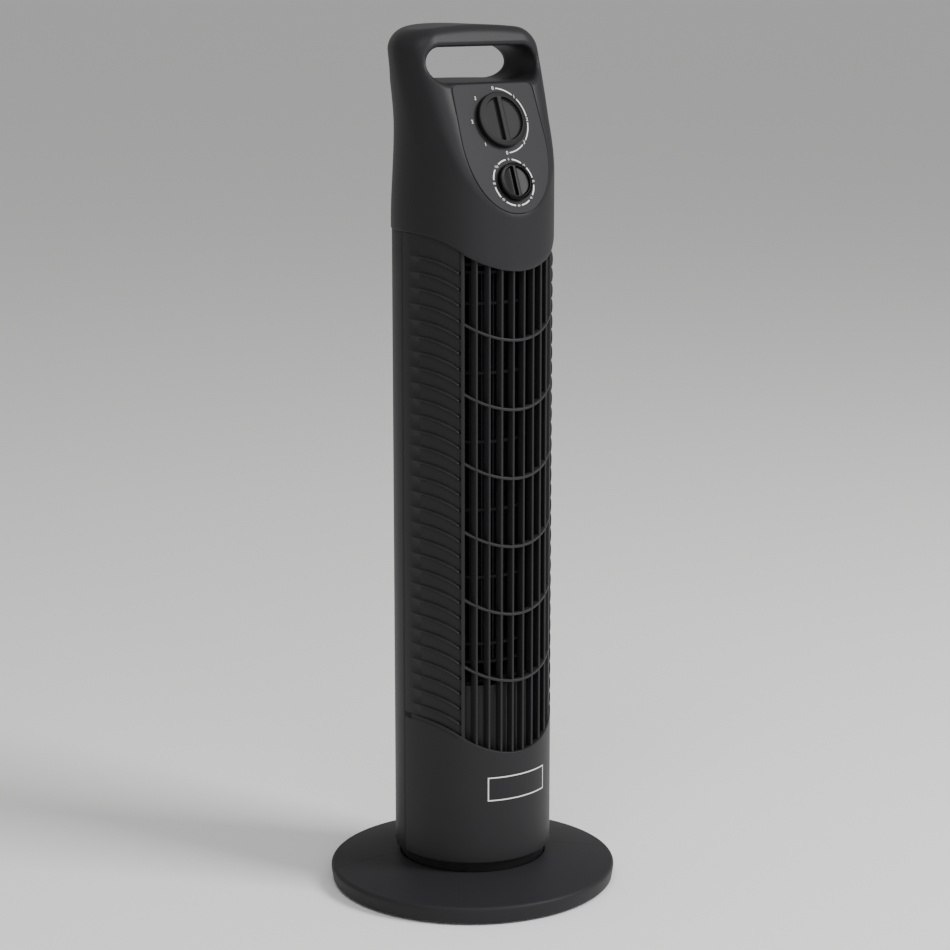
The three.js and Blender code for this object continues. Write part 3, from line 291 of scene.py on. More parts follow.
def rolled_metal(name, hexcode, roughness, stretch):
    material, shader, place = start_material(
        name, Base_Color=linear(hexcode), Roughness=roughness, Metallic=1.0
    )
    squeeze = add_node(material, "ShaderNodeMapping", {"Vector": place})
    squeeze.inputs["Scale"].default_value = stretch
    place = squeeze.outputs["Vector"]
    lines = ROLLING_PER_METRE
    grain = add_node(material, "ShaderNodeTexNoise", {"Vector": place}, Scale=lines, Detail=2.0)
    gloss = add_node(material, "ShaderNodeMapRange", {"Value": grain.outputs["Fac"]})
    gloss.inputs["To Min"].default_value = roughness - 0.08
    gloss.inputs["To Max"].default_value = roughness + 0.12
    bump = add_node(material, "ShaderNodeBump", {"Height": grain.outputs["Fac"]}, Distance=ROLLING_DEPTH)
    material.node_tree.links.new(gloss.outputs["Result"], shader.inputs["Roughness"])
    material.node_tree.links.new(bump.outputs["Normal"], shader.inputs["Normal"])
    return material


STEEL = rolled_metal("zinc_plated_steel", "#b9bcc2", 0.32, (1.0, 1.0, 0.1))
BRONZE = rolled_metal("sintered_bronze", "#a9794a", 0.5, (1.0, 1.0, 1.0))
LAMINATIONS = rolled_metal("varnished_laminations", "#6e7278", 0.45, (0.05, 0.05, 1.6))

# %% [markdown]
# The scales on the panel and the outline on the column are pad printed in white: a flat, slightly
# uneven layer of ink. It is drawn as very thin pieces of its own, because a print has crisp edges
# that a noise pattern can't give.

# %% Printing ink
WHITE_INK = textured_plastic("white_pad_printing", "#e9e9e6", "#dededb", 0.55, 0.5, 0.01, 0.05)

# %% [markdown]
# Everything that repeats is one shape and a rule. These two node trees hold the rules: one repeats a
# piece along a straight step, such as ribs and bars, and one repeats it about an upright axis, such as
# blades and slats. Both end by making the copies real and giving them their finish.

# %% Geometry Nodes: repeat along a step, and about an axis
def start_tree(name, inputs):
    tree = bpy.data.node_groups.new(name, "GeometryNodeTree")
    tree.interface.new_socket("Geometry", in_out="INPUT", socket_type="NodeSocketGeometry")
    for label, kind in inputs:
        tree.interface.new_socket(label, in_out="INPUT", socket_type="NodeSocket" + kind)
    tree.interface.new_socket("Geometry", in_out="OUTPUT", socket_type="NodeSocketGeometry")
    return tree, tree.nodes.new("NodeGroupInput"), tree.nodes.new("NodeGroupOutput")


def end_tree(tree, given, out, instances):
    real = add_node(tree, "GeometryNodeRealizeInstances", {"Geometry": instances})
    painted = add_node(
        tree,
        "GeometryNodeSetMaterial",
        {"Geometry": real.outputs["Geometry"], "Material": given.outputs["Finish"]},
    )
    tree.links.new(painted.outputs["Geometry"], out.inputs["Geometry"])
    return tree


def step_tree():
    tree, given, out = start_tree(
        "Repeat along a step", [("Count", "Int"), ("Step", "Vector"), ("Finish", "Material")]
    )
    line = add_node(
        tree,
        "GeometryNodeMeshLine",
        {"Count": given.outputs["Count"], "Offset": given.outputs["Step"]},
        mode="OFFSET",
    )
    copies = add_node(
        tree,
        "GeometryNodeInstanceOnPoints",
        {"Points": line.outputs["Mesh"], "Instance": given.outputs["Geometry"]},
    )
    return end_tree(tree, given, out, copies.outputs["Instances"])


def turn_tree():
    tree, given, out = start_tree(
        "Repeat about the axis",
        [("Count", "Int"), ("Turn", "Float"), ("First", "Float"), ("Finish", "Material")],
    )
    line = add_node(tree, "GeometryNodeMeshLine", {"Count": given.outputs["Count"]}, mode="OFFSET")
    line.inputs["Offset"].default_value = (0, 0, 0)
    index = add_node(tree, "GeometryNodeInputIndex")
    turned = add_node(
        tree,
        "ShaderNodeMath",
        {0: index.outputs["Index"], 1: given.outputs["Turn"], 2: given.outputs["First"]},
        operation="MULTIPLY_ADD",
    )
    upright = add_node(tree, "ShaderNodeCombineXYZ", {"Z": turned.outputs["Value"]})
    copies = add_node(
        tree,
        "GeometryNodeInstanceOnPoints",
        {
            "Points": line.outputs["Mesh"],
            "Instance": given.outputs["Geometry"],
            "Rotation": upright.outputs["Vector"],
        },
    )
    return end_tree(tree, given, out, copies.outputs["Instances"])


STEP_TREE, TURN_TREE = step_tree(), turn_tree()


def repeat(piece, tree, smooth_angle=SMOOTH_ANGLE, **values):
    """Runs a tree on a piece, with its inputs set by identifier, and bakes the result."""
    modifier = piece.modifiers.new("Repeat", "NODES")
    modifier.node_group = tree
    names = {s.name: s.identifier for s in tree.interface.items_tree if s.in_out == "INPUT"}
    for label, value in values.items():
        modifier[names[label.replace("_", " ")]] = value
    return bake(piece, smooth_angle)


# %% [markdown]
# The sizes below drive the shapes. What the working model already says is read from its boxes: here the
# column's radius and lower edge and the head's height; further on the blanking plate's top, the impeller's
# ends, and where the screws and the feet are.

# %% Driving sizes
column_low, column_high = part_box("rear_housing")
COLUMN_RADIUS = column_high.y / MM
COLUMN_BOTTOM = column_low.z / MM
TOTAL_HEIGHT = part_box("head_shell")[1].z / MM
WALL = 2.5
HOUSING_HALF = 94.5
OPEN_HALF = 41.4
FRAME_EDGE = OPEN_HALF + 2.4
OUTLET_BOTTOM = 131.5
FIRST_BAR = 194.0
BAR_PITCH = 58.0
BAR_COUNT = 6
OUTLET_TOP = FIRST_BAR + (BAR_COUNT - 1) * BAR_PITCH + 57
SMILE = 14.3
RIB_COUNT = 31
RIB_PITCH = 13.15
FIRST_RIB = 552.4
RIB_FADE = 86.0
RIB_START = 45.0
RIB_DROP = 15.4
PANEL_SINK = 3.4
HEAD_EDGE = 571.4
PANEL_EDGE = 161.3


def smile(angle):
    return SMILE * (np.abs(angle) / OPEN_HALF) ** 1.9


def rib_drop(angle):
    return RIB_DROP * np.clip((RIB_FADE - np.abs(angle)) / (RIB_FADE - OPEN_HALF), 0, None) ** 2.45


def head_edge(angle):
    inside = np.abs(angle) <= OPEN_HALF
    return np.where(inside, OUTLET_TOP + smile(angle), HEAD_EDGE - rib_drop(angle))


def skirt_edge(angle):
    inside = np.abs(angle) <= OPEN_HALF
    return np.where(inside, OUTLET_BOTTOM + smile(angle), PANEL_EDGE - rib_drop(angle))


def panel_radius(angle):
    reach = np.clip((RIB_FADE - np.abs(angle)) / (RIB_FADE - RIB_START), 0, 1)
    return COLUMN_RADIUS - PANEL_SINK * reach**0.8


print(f"column radius {COLUMN_RADIUS:.1f} mm, outlet {OUTLET_BOTTOM:.0f} to {OUTLET_TOP:.0f} mm")

# %% [markdown]
# The front casing is one moulding: a round skirt below, and a ribbed panel on each side of the outlet.
# It is built as a grid that follows the ribs' own S-shaped lines, so every rib is crisp with few
# faces. A displacement map could do it, but the grid keeps the ribs' edges where the tool cut them.

# %% Front casing
def casing_wall(angles, levels, radius_at):
    """A wall through columns at the angles and rows at the levels, each (height, radius) by rule."""
    outer = np.stack([polar(*level) for level in levels])
    inner = outer.copy()
    flat = np.hypot(outer[..., 0], outer[..., 1])
    shrink = (np.minimum(flat, radius_at(angles)) - WALL) / flat
    inner[..., :2] *= shrink[..., None]
    return closed_sheet(outer, inner)


FOOT_ROUND = 1.6
EDGE_FADE = 12
EDGE_PROFILE = ((0.0, 0.7), (0.08, 0.4), (0.3, 0.12), (0.7, 0.0))
near_outlet, past_ribs = [44.2, 44.5, 45.0, 45.4, 46.0], [89, 92, HOUSING_HALF]
side_angles = np.concatenate([near_outlet, np.linspace(47.5, 86, 28), past_ribs])
front_angles = np.concatenate([-side_angles[::-1], np.linspace(-42.5, 42.5, 41), side_angles])


def edge_depth(angles):
    """How deep the groove at a panel's edge is, as a share. It runs out where the ribs do."""
    return np.clip((RIB_FADE - np.abs(angles)) / EDGE_FADE, 0, 1)


def skirt_levels():
    edge = skirt_edge(front_angles)
    start = COLUMN_RADIUS - FOOT_ROUND
    levels = [(start, front_angles, np.full_like(edge, COLUMN_BOTTOM))]
    for turn in (25, 50, 75, 90):
        drop = FOOT_ROUND * math.cos(math.radians(turn))
        levels.append((start + FOOT_ROUND * math.sin(math.radians(turn)), front_angles,
                       np.full_like(edge, COLUMN_BOTTOM + FOOT_ROUND - drop)))
    for share in np.linspace(0.06, 0.98, 14):
        levels.append((COLUMN_RADIUS, front_angles, COLUMN_BOTTOM + 2 + (edge - COLUMN_BOTTOM - 2) * share))
    depth = edge_depth(front_angles)
    for inset, below in EDGE_PROFILE:
        levels.append((COLUMN_RADIUS - inset * depth, front_angles, edge - below))
    return levels


RIB_SIDE = [(0.35, 1.0), (0.75, 0.85), (1.05, 0.35), (1.35, 0.0)]
RIB_PROFILE = [(-offset, share) for offset, share in reversed(RIB_SIDE)] + RIB_SIDE


def panel_levels(angles):
    ends = smooth(44.4, 45.6, angles)
    base = panel_radius(angles) - 0.6 * (1 - smooth(44.2, 47.5, angles))
    drop = rib_drop(angles)
    depth = edge_depth(angles)
    levels = [(COLUMN_RADIUS - 0.7 * depth, angles, PANEL_EDGE - drop)]
    levels.append((base, angles, PANEL_EDGE - drop + 0.3))
    for index in range(RIB_COUNT - 1, -1, -1):
        middle = FIRST_RIB - index * RIB_PITCH
        if index < RIB_COUNT - 1:
            levels.append((base, angles, middle - RIB_PITCH / 2 - drop))
        for offset, share in RIB_PROFILE:
            height = (COLUMN_RADIUS - base) * share * ends
            levels.append((base + height, angles, middle + offset - drop))
    levels.append((base, angles, FIRST_RIB + 7 - drop))
    levels.append((base, angles, HEAD_EDGE - 0.4 - drop))
    return levels


def mirrored(part):
    points, faces = part
    return points * np.array([-1, 1, 1]), [f[::-1] for f in faces]


skirt = casing_wall(front_angles, skirt_levels(), lambda a: np.full_like(a, COLUMN_RADIUS))
right_panel = casing_wall(side_angles, panel_levels(side_angles), panel_radius)
points, faces = merge([skirt, right_panel, mirrored(right_panel)])
front_casing = make_piece("front_casing", points, faces, CHARCOAL, math.radians(50))
dress(front_casing, "tower", "charcoal_abs", "front_housing")

# %% [markdown]
# Some pieces repeat, but not along a line or round an axis: fins follow the grille's curve, and
# screws and feet stand where the working model has them. This tree puts one shape at each point of a
# mesh that holds only the places.

# %% Geometry Nodes: repeat at places
def place_tree():
    tree, given, out = start_tree("Repeat at places", [("Shape", "Object"), ("Finish", "Material")])
    shape = add_node(tree, "GeometryNodeObjectInfo", {"Object": given.outputs["Shape"]})
    copies = add_node(
        tree,
        "GeometryNodeInstanceOnPoints",
        {"Points": given.outputs["Geometry"], "Instance": shape.outputs["Geometry"]},
    )
    return end_tree(tree, given, out, copies.outputs["Instances"])


PLACE_TREE = place_tree()


def repeat_at(name, shape, places, material, smooth_angle=SMOOTH_ANGLE):
    """One shape at every place, as one piece. The shape itself is then thrown away."""
    mesh = bpy.data.meshes.new(name)
    mesh.from_pydata((np.asarray(places, float) * MM).tolist(), [], [])
    piece = bpy.data.objects.new(name, mesh)
    bpy.context.scene.collection.objects.link(piece)
    repeat(piece, PLACE_TREE, smooth_angle, Shape=shape, Finish=material)
    bpy.data.objects.remove(shape)
    return piece


def middle_of(node):
    low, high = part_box(node)
    return (low + high) / 2 / MM


# %% [markdown]
# The outlined badge on the skirt is pad printed: four thin bars of ink that lie on the curved wall.
# What stood inside it is left blank, because it was a name.

# %% Printed outline on the skirt
BADGE_ANGLES = (-24.6, 28.0)
BADGE_HEIGHTS = (90.5, 111.5)
INK_WIDTH = 1.0
INK_LIFT = 0.06


def curved_patch(low_angle, high_angle, low, high, radius, steps):
    angles = np.linspace(low_angle, high_angle, steps)
    outer = np.stack([polar(radius + INK_LIFT, angles, np.full(steps, h)) for h in (low, high)])
    inner = np.stack([polar(radius - INK_LIFT, angles, np.full(steps, h)) for h in (low, high)])
    return closed_sheet(outer, inner)


def badge_outline():
    (left, right), (low, high) = BADGE_ANGLES, BADGE_HEIGHTS
    turn = math.degrees(INK_WIDTH / COLUMN_RADIUS)
    return merge([
        curved_patch(left, right, low, low + INK_WIDTH, COLUMN_RADIUS, 60),
        curved_patch(left, right, high - INK_WIDTH, high, COLUMN_RADIUS, 60),
        curved_patch(left, left + turn, low + INK_WIDTH, high - INK_WIDTH, COLUMN_RADIUS, 3),
        curved_patch(right - turn, right, low + INK_WIDTH, high - INK_WIDTH, COLUMN_RADIUS, 3),
    ])


badge = make_piece("printed_outline", *badge_outline(), WHITE_INK)
dress(badge, "tower", "charcoal_abs")

# %% [markdown]
# The rear casing is a half pipe with six rows of intake slots. A slot is a hole in the grid: cells
# that are left out, with walls through the thickness wherever a kept cell meets a missing one. A
# boolean could cut them, but this way each slot's edge is clean and takes a bevel.

# %% Rear casing
SLOT_COUNT = 7
SLOT_STEP = 16.0
SLOT_HALF_ANGLE = 3.4
SLOT_MARGIN = 5.0


def pierced_wall(angles, heights, outer_radius, inner_radius, is_open):
    """A curved wall as a grid, without the cells that is_open(angle, height) picks."""
    columns = len(angles)
    turns, levels = np.meshgrid(angles, heights)
    outer = polar(outer_radius, turns, levels).reshape(-1, 3)
    inner = polar(inner_radius, turns, levels).reshape(-1, 3)
    shift = len(outer)
    kept = {
        (i, j)
        for i in range(len(heights) - 1)
        for j in range(columns - 1)
        if not is_open((angles[j] + angles[j + 1]) / 2, (heights[i] + heights[i + 1]) / 2)
    }
    faces = []
    for i, j in sorted(kept):
        corners = [i * columns + j, i * columns + j + 1, (i + 1) * columns + j + 1, (i + 1) * columns + j]
        faces.append(tuple(corners))
        faces.append(tuple(c + shift for c in reversed(corners)))
        beside = [(i - 1, j), (i, j + 1), (i + 1, j), (i, j - 1)]
        for k, neighbour in enumerate(beside):
            if neighbour not in kept:
                a, b = corners[k], corners[(k + 1) % 4]
                faces.append((b, a, a + shift, b + shift))
    return np.concatenate([outer, inner]), faces


def rear_slot(angle, height):
    row, above = divmod(height - FIRST_BAR, BAR_PITCH)
    in_row = 0 <= row < BAR_COUNT and SLOT_MARGIN < above < BAR_PITCH - SLOT_MARGIN
    return in_row and any(
        abs(angle - 180 - (i - (SLOT_COUNT - 1) / 2) * SLOT_STEP) < SLOT_HALF_ANGLE for i in range(SLOT_COUNT)
    )


def rear_casing_mesh():
    edges = [180 + (i - (SLOT_COUNT - 1) / 2) * SLOT_STEP + side * SLOT_HALF_ANGLE
             for i in range(SLOT_COUNT) for side in (-1, 1)]
    start = HOUSING_HALF + 0.4
    angles = np.unique(np.round(np.concatenate([np.linspace(start, 360 - start, 61), edges]), 3))
    slot_edges = [FIRST_BAR + row * BAR_PITCH + margin
                  for row in range(BAR_COUNT) for margin in (SLOT_MARGIN, BAR_PITCH - SLOT_MARGIN)]
    heights = np.unique(np.concatenate([[COLUMN_BOTTOM, 60, 110, 160, HEAD_EDGE - 0.4], slot_edges]))
    return pierced_wall(angles, heights, COLUMN_RADIUS, COLUMN_RADIUS - WALL, rear_slot)


rear_casing = make_piece("rear_casing", *rear_casing_mesh(), CHARCOAL)
use(rear_casing, "BEVEL", width=0.0006, segments=2, limit_method="ANGLE", angle_limit=math.radians(40))
bake(rear_casing)
print("slots:", SLOT_COUNT * BAR_COUNT)

# %% [markdown]
# The grille is one moulding with curved bars, upright fins and a frame. Bars and fins are each drawn
# once and repeated by Geometry Nodes: the bars by a fixed step up, and the fins at places on the
# grille's arc, because they all face straight ahead instead of towards the axis.

# %% Front grille
GRILLE_RADIUS = COLUMN_RADIUS - 0.7
FIN_COUNT = 8
FIN_STEP = 9.2
FIN_HALF = 1.0
FIN_DEPTH = 8.0
BAR_HALF = 1.2
BAR_DEPTH = 5.4
RAIL_INNER = COLUMN_RADIUS - WALL - 3.75
ROUND_CORNER = [math.radians(a) for a in (0, 30, 60, 90)]


def rounded_section(half, depth, corner):
    """(inwards, sideways) points round a bar's section, whose front corners are rounded."""
    front = [(corner - corner * math.cos(a), half - corner + corner * math.sin(a)) for a in ROUND_CORNER]
    return [(d, -s) for d, s in reversed(front)] + front + [(depth, half * 0.8), (depth, -half * 0.8)]


def swept_bar():
    angles = np.linspace(-FRAME_EDGE, FRAME_EDGE, 49)
    section = rounded_section(BAR_HALF, BAR_DEPTH, 0.7)
    grid = np.stack(
        [polar(GRILLE_RADIUS - depth, angles, FIRST_BAR + smile(angles) + side) for depth, side in section], 1
    )
    count = len(section)
    faces = skin_faces(len(angles), count, around=True)
    last = (len(angles) - 1) * count
    faces += [tuple(range(count)), tuple(range(last + count - 1, last - 1, -1))]
    return grid.reshape(-1, 3), faces


def upright_fin():
    section = rounded_section(FIN_HALF, FIN_DEPTH - 0.3, 0.7)
    low, high = OUTLET_BOTTOM - 3, OUTLET_TOP + 3
    points = [(side, depth + 0.3, height) for height in (low, high) for depth, side in section]
    count = len(section)
    faces = skin_faces(2, count, around=True)
    return points, faces + [tuple(range(count)), tuple(range(2 * count - 1, count - 1, -1))]


bars = make_piece("grille_bars", *swept_bar(), GRILLE_BLACK)
repeat(bars, STEP_TREE, Count=BAR_COUNT, Step=(0, 0, BAR_PITCH * MM), Finish=GRILLE_BLACK)
dress(bars, "tower", "charcoal_abs", "front_grille")

fin_angles = (np.arange(FIN_COUNT) - (FIN_COUNT - 1) / 2) * FIN_STEP
fin_places = polar(GRILLE_RADIUS, fin_angles, smile(fin_angles))
fins = repeat_at("grille_fins", make_piece("fin", *upright_fin(), GRILLE_BLACK), fin_places, GRILLE_BLACK)
dress(fins, "tower", "charcoal_abs")

# %% [markdown]
# The grille's frame is two posts and two arcs that follow the outlet's curve. Behind the lowest cell
# a plain plate closes the outlet. Each is a block bent round the axis, so one function makes them all.

# %% Grille frame and blanking plate
def arc_block(angles, inner, outer, low, high):
    """A closed block between two radii, whose lower and upper edges may follow the angle."""
    low, high = low + 0 * angles, high + 0 * angles
    outside = np.stack([polar(outer, angles, low), polar(outer, angles, high)])
    inside = np.stack([polar(inner, angles, low), polar(inner, angles, high)])
    return closed_sheet(outside, inside)


across = np.linspace(-FRAME_EDGE, FRAME_EDGE, 41)
post = np.array([OPEN_HALF, (OPEN_HALF + FRAME_EDGE) / 2, FRAME_EDGE])
post_low, post_high = OUTLET_BOTTOM + SMILE - 5, OUTLET_TOP + SMILE + 4
right_post = arc_block(post, RAIL_INNER, GRILLE_RADIUS, post_low, post_high)
arc_smile = np.minimum(smile(across), SMILE)
low_edge, high_edge, rail_outer = OUTLET_BOTTOM + arc_smile, OUTLET_TOP + arc_smile, RAIL_INNER + 3.4
frame_parts = [
    right_post,
    mirrored(right_post),
    arc_block(across, RAIL_INNER, rail_outer, low_edge - 5, low_edge - 1),
    arc_block(across, RAIL_INNER, rail_outer, high_edge + 1, high_edge + 5),
]
grille_frame = make_piece("grille_frame", *merge(frame_parts), GRILLE_BLACK)
use(grille_frame, "BEVEL", width=0.0003, segments=2, limit_method="ANGLE", angle_limit=math.radians(40))
bake(grille_frame)
dress(grille_frame, "tower", "charcoal_abs")

plate_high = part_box("blanking_plate")[1].z / MM
plate_radius = GRILLE_RADIUS - FIN_DEPTH - 2
plate = arc_block(across, plate_radius - 2, plate_radius, OUTLET_BOTTOM - 4, plate_high)
blanking_plate = make_piece("bottom_cell_plate", *plate, GRILLE_BLACK)
dress(blanking_plate, "tower", "charcoal_abs", "blanking_plate")

# %% [markdown]
# The head has long blends between a round wall, a sloping face, two flattened corners and the lips of
# the grip opening. Such a shape is easiest to say as a field: a number that is negative inside the
# plastic, and roughly the distance to its surface. The field is sampled on a grid, and each cell that
# the surface passes through gets one point, which is then slid along the slope onto the surface.

# %% A surface from a field
def field_surface(field, low, high, cell, slides=4):
    """Points and faces of the surface where field(x, y, z) is zero, in millimetres."""
    axes = [np.arange(a, b + cell, cell) for a, b in zip(low, high)]
    values = field(*np.meshgrid(*axes, indexing="ij"))
    cells = np.array(values.shape) - 1
    total, hits = np.zeros((*cells, 3)), np.zeros(cells)
    edges = []
    for axis in range(3):
        one, two = (axis + 1) % 3, (axis + 2) % 3
        count = values.shape[axis]
        a, b = values.take(range(count - 1), axis), values.take(range(1, count), axis)
        crossing = (a < 0) != (b < 0)
        share = np.where(crossing, a / np.where(crossing, a - b, 1), 0)
        spots = np.stack(np.meshgrid(*[np.arange(n) for n in a.shape], indexing="ij"), -1).astype(float)
        spots[..., axis] += share
        for step_one in (0, 1):
            for step_two in (0, 1):
                part = [slice(0, n) for n in cells]
                part[one] = slice(step_one, step_one + cells[one])
                part[two] = slice(step_two, step_two + cells[two])
                part = tuple(part)
                hits += crossing[part]
                total += spots[part] * crossing[part][..., None]
        edges.append((axis, one, two, crossing, a < 0))
    used = hits > 0
    number = np.full(cells, -1)
    number[used] = np.arange(used.sum())
    points = np.array(low) + total[used] / hits[used][:, None] * cell
    faces = []
    for axis, one, two, crossing, outward in edges:
        at = np.argwhere(crossing)
        above = (at[:, one] > 0) & (at[:, two] > 0)
        at = at[above & (at[:, one] < cells[one]) & (at[:, two] < cells[two])]
        corners = []
        for back_one, back_two in ((1, 1), (0, 1), (0, 0), (1, 0)):
            cell_at = at.copy()
            cell_at[:, one] -= back_one
            cell_at[:, two] -= back_two
            corners.append(number[tuple(cell_at.T)])
        quads = np.stack(corners, -1)
        turned_in = ~outward[tuple(at.T)]
        quads[turned_in] = quads[turned_in][:, ::-1]
        faces.append(quads)
    return slide_onto(field, points, cell, slides), np.concatenate(faces).tolist()


def slide_onto(field, points, cell, slides):
    """Moves points down the field's slope until they lie on its zero surface."""
    start, small = points.copy(), cell * 0.05
    for _ in range(slides):
        value = field(*points.T)
        slope = np.stack(
            [
                (field(*(points + step).T) - field(*(points - step).T)) / (2 * small)
                for step in np.eye(3) * small
            ],
            -1,
        )
        move = -(value / np.maximum((slope**2).sum(-1), 0.1))[:, None] * slope
        points = start + np.clip(points + move - start, -cell, cell)
    return points


def round_meet(a, b, radius):
    """The part inside both fields, with the edge between them rounded to a radius."""
    corner = np.hypot(np.clip(a + radius, 0, None), np.clip(b + radius, 0, None))
    return np.minimum(np.maximum(a, b), -radius) + corner


def soft_meet(a, b, blend):
    """The part inside both fields, with a soft blend where they are nearly equal."""
    overlap = np.clip(blend - np.abs(a - b), 0, None) / blend
    return np.maximum(a, b) + overlap**2 * blend / 4


# %% [markdown]
# The head's outer form, from its sizes. Its wall is round at the bottom, draws in behind to a waist
# and widens again to the crown. The face leans back, and a flattened corner on each side of it runs
# up into the grip's pillars. The top edge is rounded, and less so above the face.

# %% Head: its form as a field
HEAD_CUT = 580.0
HEAD_RADIUS = 68.2
HEAD_WAIST = 65.3
HEAD_CROWN = 70.0
SHELL_FROM = HEAD_EDGE + 4
FACE_START = 588.0
FACE_LEAN = math.radians(21.6)
CROWN_FROM, CROWN_TO = 655.0, 722.0
CORNER_FACING = math.radians(54.3)
CORNER_START, CORNER_REACH, CORNER_SLOPE = 643.0, 68.0, 0.183
TOP_ROUND, TOP_ROUND_FRONT, TOP_ARCH = 16.0, 7.0, 6.0
GRIP_HALF, GRIP_LOW, GRIP_HIGH, GRIP_CORNER = 54.5, 692.0, 720.5, 14.0
GRIP_FLARE, FLARE_FROM = 0.02, -28
LIP_ROUND, LIP_ROUND_REAR = 5.0, 7.0
HEAD_WALL = 3.5
BACK_FROM, BACK_TO = 50, 120
BLEND_START, BLEND_RATE, BLEND_LEAST, BLEND_MOST = 10, 0.12, 1, 10


def head_radius(height, angle):
    back = smooth(BACK_FROM, BACK_TO, np.abs(angle))
    waist = back * (HEAD_RADIUS - HEAD_WAIST) * smooth(SHELL_FROM, CROWN_FROM, height)
    crown = HEAD_CROWN - HEAD_RADIUS + back * (HEAD_RADIUS - HEAD_WAIST)
    return HEAD_RADIUS - waist + crown * smooth(CROWN_FROM, CROWN_TO, height)


def head_outside(x, y, z):
    angle = np.degrees(np.arctan2(x, -y))
    wall = np.hypot(x, y) - head_radius(z, angle)
    reach = CORNER_REACH - CORNER_SLOPE * (z - CORNER_START)
    corner = np.abs(x) * math.sin(CORNER_FACING) - y * math.cos(CORNER_FACING) - reach
    corner = corner / math.hypot(1, CORNER_SLOPE)
    face = (-y - COLUMN_RADIUS) * math.cos(FACE_LEAN) + math.sin(FACE_LEAN) * (z - FACE_START)
    blend = np.clip((z - FACE_START + BLEND_START) * BLEND_RATE, BLEND_LEAST, BLEND_MOST)
    sides = soft_meet(wall, corner, blend)
    around = soft_meet(sides, face, blend)
    top = z - TOTAL_HEIGHT + TOP_ARCH * (x / HEAD_CROWN) ** 2
    rounding = TOP_ROUND_FRONT + (TOP_ROUND - TOP_ROUND_FRONT) * smooth(-12, 12, sides - face)
    return round_meet(around, top, rounding)


def grip_opening(x, y, z):
    across = np.abs(x) - (GRIP_HALF - GRIP_CORNER) - GRIP_FLARE * (y - FLARE_FROM)
    up = np.abs(z - (GRIP_LOW + GRIP_HIGH) / 2) - ((GRIP_HIGH - GRIP_LOW) / 2 - GRIP_CORNER)
    past = np.hypot(np.clip(across, 0, None), np.clip(up, 0, None))
    return past + np.minimum(np.maximum(across, up), 0) - GRIP_CORNER


def head_field(x, y, z):
    outside = head_outside(x, y, z)
    hollow = np.maximum(outside + HEAD_WALL, z - (GRIP_LOW - HEAD_WALL))
    lip = LIP_ROUND + (LIP_ROUND_REAR - LIP_ROUND) * smooth(-5, 25, y)
    solid = round_meet(outside, -grip_opening(x, y, z), lip)
    return np.maximum(np.maximum(solid, -hollow), HEAD_CUT - 5 - z)


# %% [markdown]
# The upper head comes from the field and is cut level. The skirt below it has a thin, S-curved lower
# edge that must stay crisp, so that part is a grid like the casing. The panel's recess and the two
# spindle holes are cut last, with a boolean, because their edges are sharp on the real part too.

# %% Head: mesh, recess and holes
PANEL_THICKNESS = 1.2
PANEL_HALF, PANEL_TOP, PANEL_SHOULDER = 42.0, 110.8, 62.0
SPEED_PLACE, TIMER_PLACE = 79.0, 26.4
SPINDLE_BORE, HOLE_UNDER, HOLE_OVER = 3.8, -9.0, 6.0
HEAD_CELL = 1.7
FACE_TURN = Matrix.Rotation(math.pi / 2 - FACE_LEAN, 4, "X")
FACE_FRAME = Matrix.Translation((0, -COLUMN_RADIUS, FACE_START)) @ FACE_TURN


def on_face(points):
    """Points given as (sideways, up the face, out of it), placed in the fan's frame."""
    turn = np.array(FACE_FRAME)
    return np.asarray(points, float) @ turn[:3, :3].T + turn[:3, 3]


def bezier(points, steps):
    t = np.linspace(0, 1, steps)[:, None]
    while len(points) > 1:
        points = [a * (1 - t) + b * t for a, b in zip(points, points[1:])]
    return points[0]


def panel_outline(grow):
    """The control panel's outline on the face, anticlockwise from its lowest point."""
    half, top, corner, shoulder = PANEL_HALF + grow, PANEL_TOP + grow, 6, PANEL_SHOULDER
    side = [(0, -grow), (half * 0.62, -grow), (half, shoulder * 0.45), (half, shoulder)]
    turn = [(half - 1.5, top - corner), (half - 1.8, top), (half - 1.8 - corner, top)]
    right = np.concatenate([
        bezier([np.array(p, float) for p in side], 33),
        bezier([np.array(p, float) for p in turn], 9),
    ])
    left = right[::-1] * np.array([-1, 1])
    return np.concatenate([right, left[:-1]])


def stacked(levels):
    """A closed solid through level outlines, each an array of (x, y) and a height."""
    points = np.concatenate(
        [np.column_stack([outline, np.full(len(outline), height)]) for outline, height in levels]
    )
    count = len(levels[0][0])
    faces = skin_faces(len(levels), count, around=True)
    last = (len(levels) - 1) * count
    return points, faces + [tuple(reversed(range(count))), tuple(range(last, last + count))]


def circle(radius, centre=(0, 0), sides=48):
    turn = np.linspace(0, 2 * math.pi, sides, endpoint=False)
    return np.column_stack([centre[0] + radius * np.cos(turn), centre[1] + radius * np.sin(turn)])


def carve(piece, *cutters, smooth_angle=SMOOTH_ANGLE):
    """Cuts the cutters out of a piece, and throws them away."""
    for cutter in cutters:
        use(piece, "BOOLEAN", object=cutter, operation="DIFFERENCE", solver="MANIFOLD")
    bake(piece, smooth_angle)
    for cutter in cutters:
        bpy.data.objects.remove(cutter)
    return piece


def cutter_on_face(name, levels):
    points, faces = stacked(levels)
    return make_piece(name, on_face(points), faces, CHARCOAL)


def spindle_holes():
    """A cutter for each knob's spindle, right through the panel and the wall behind it."""
    rings = [circle(SPINDLE_BORE, (0, place)) for place in (SPEED_PLACE, TIMER_PLACE)]
    return [cutter_on_face("hole", [(ring, HOLE_UNDER), (ring, HOLE_OVER)]) for ring in rings]


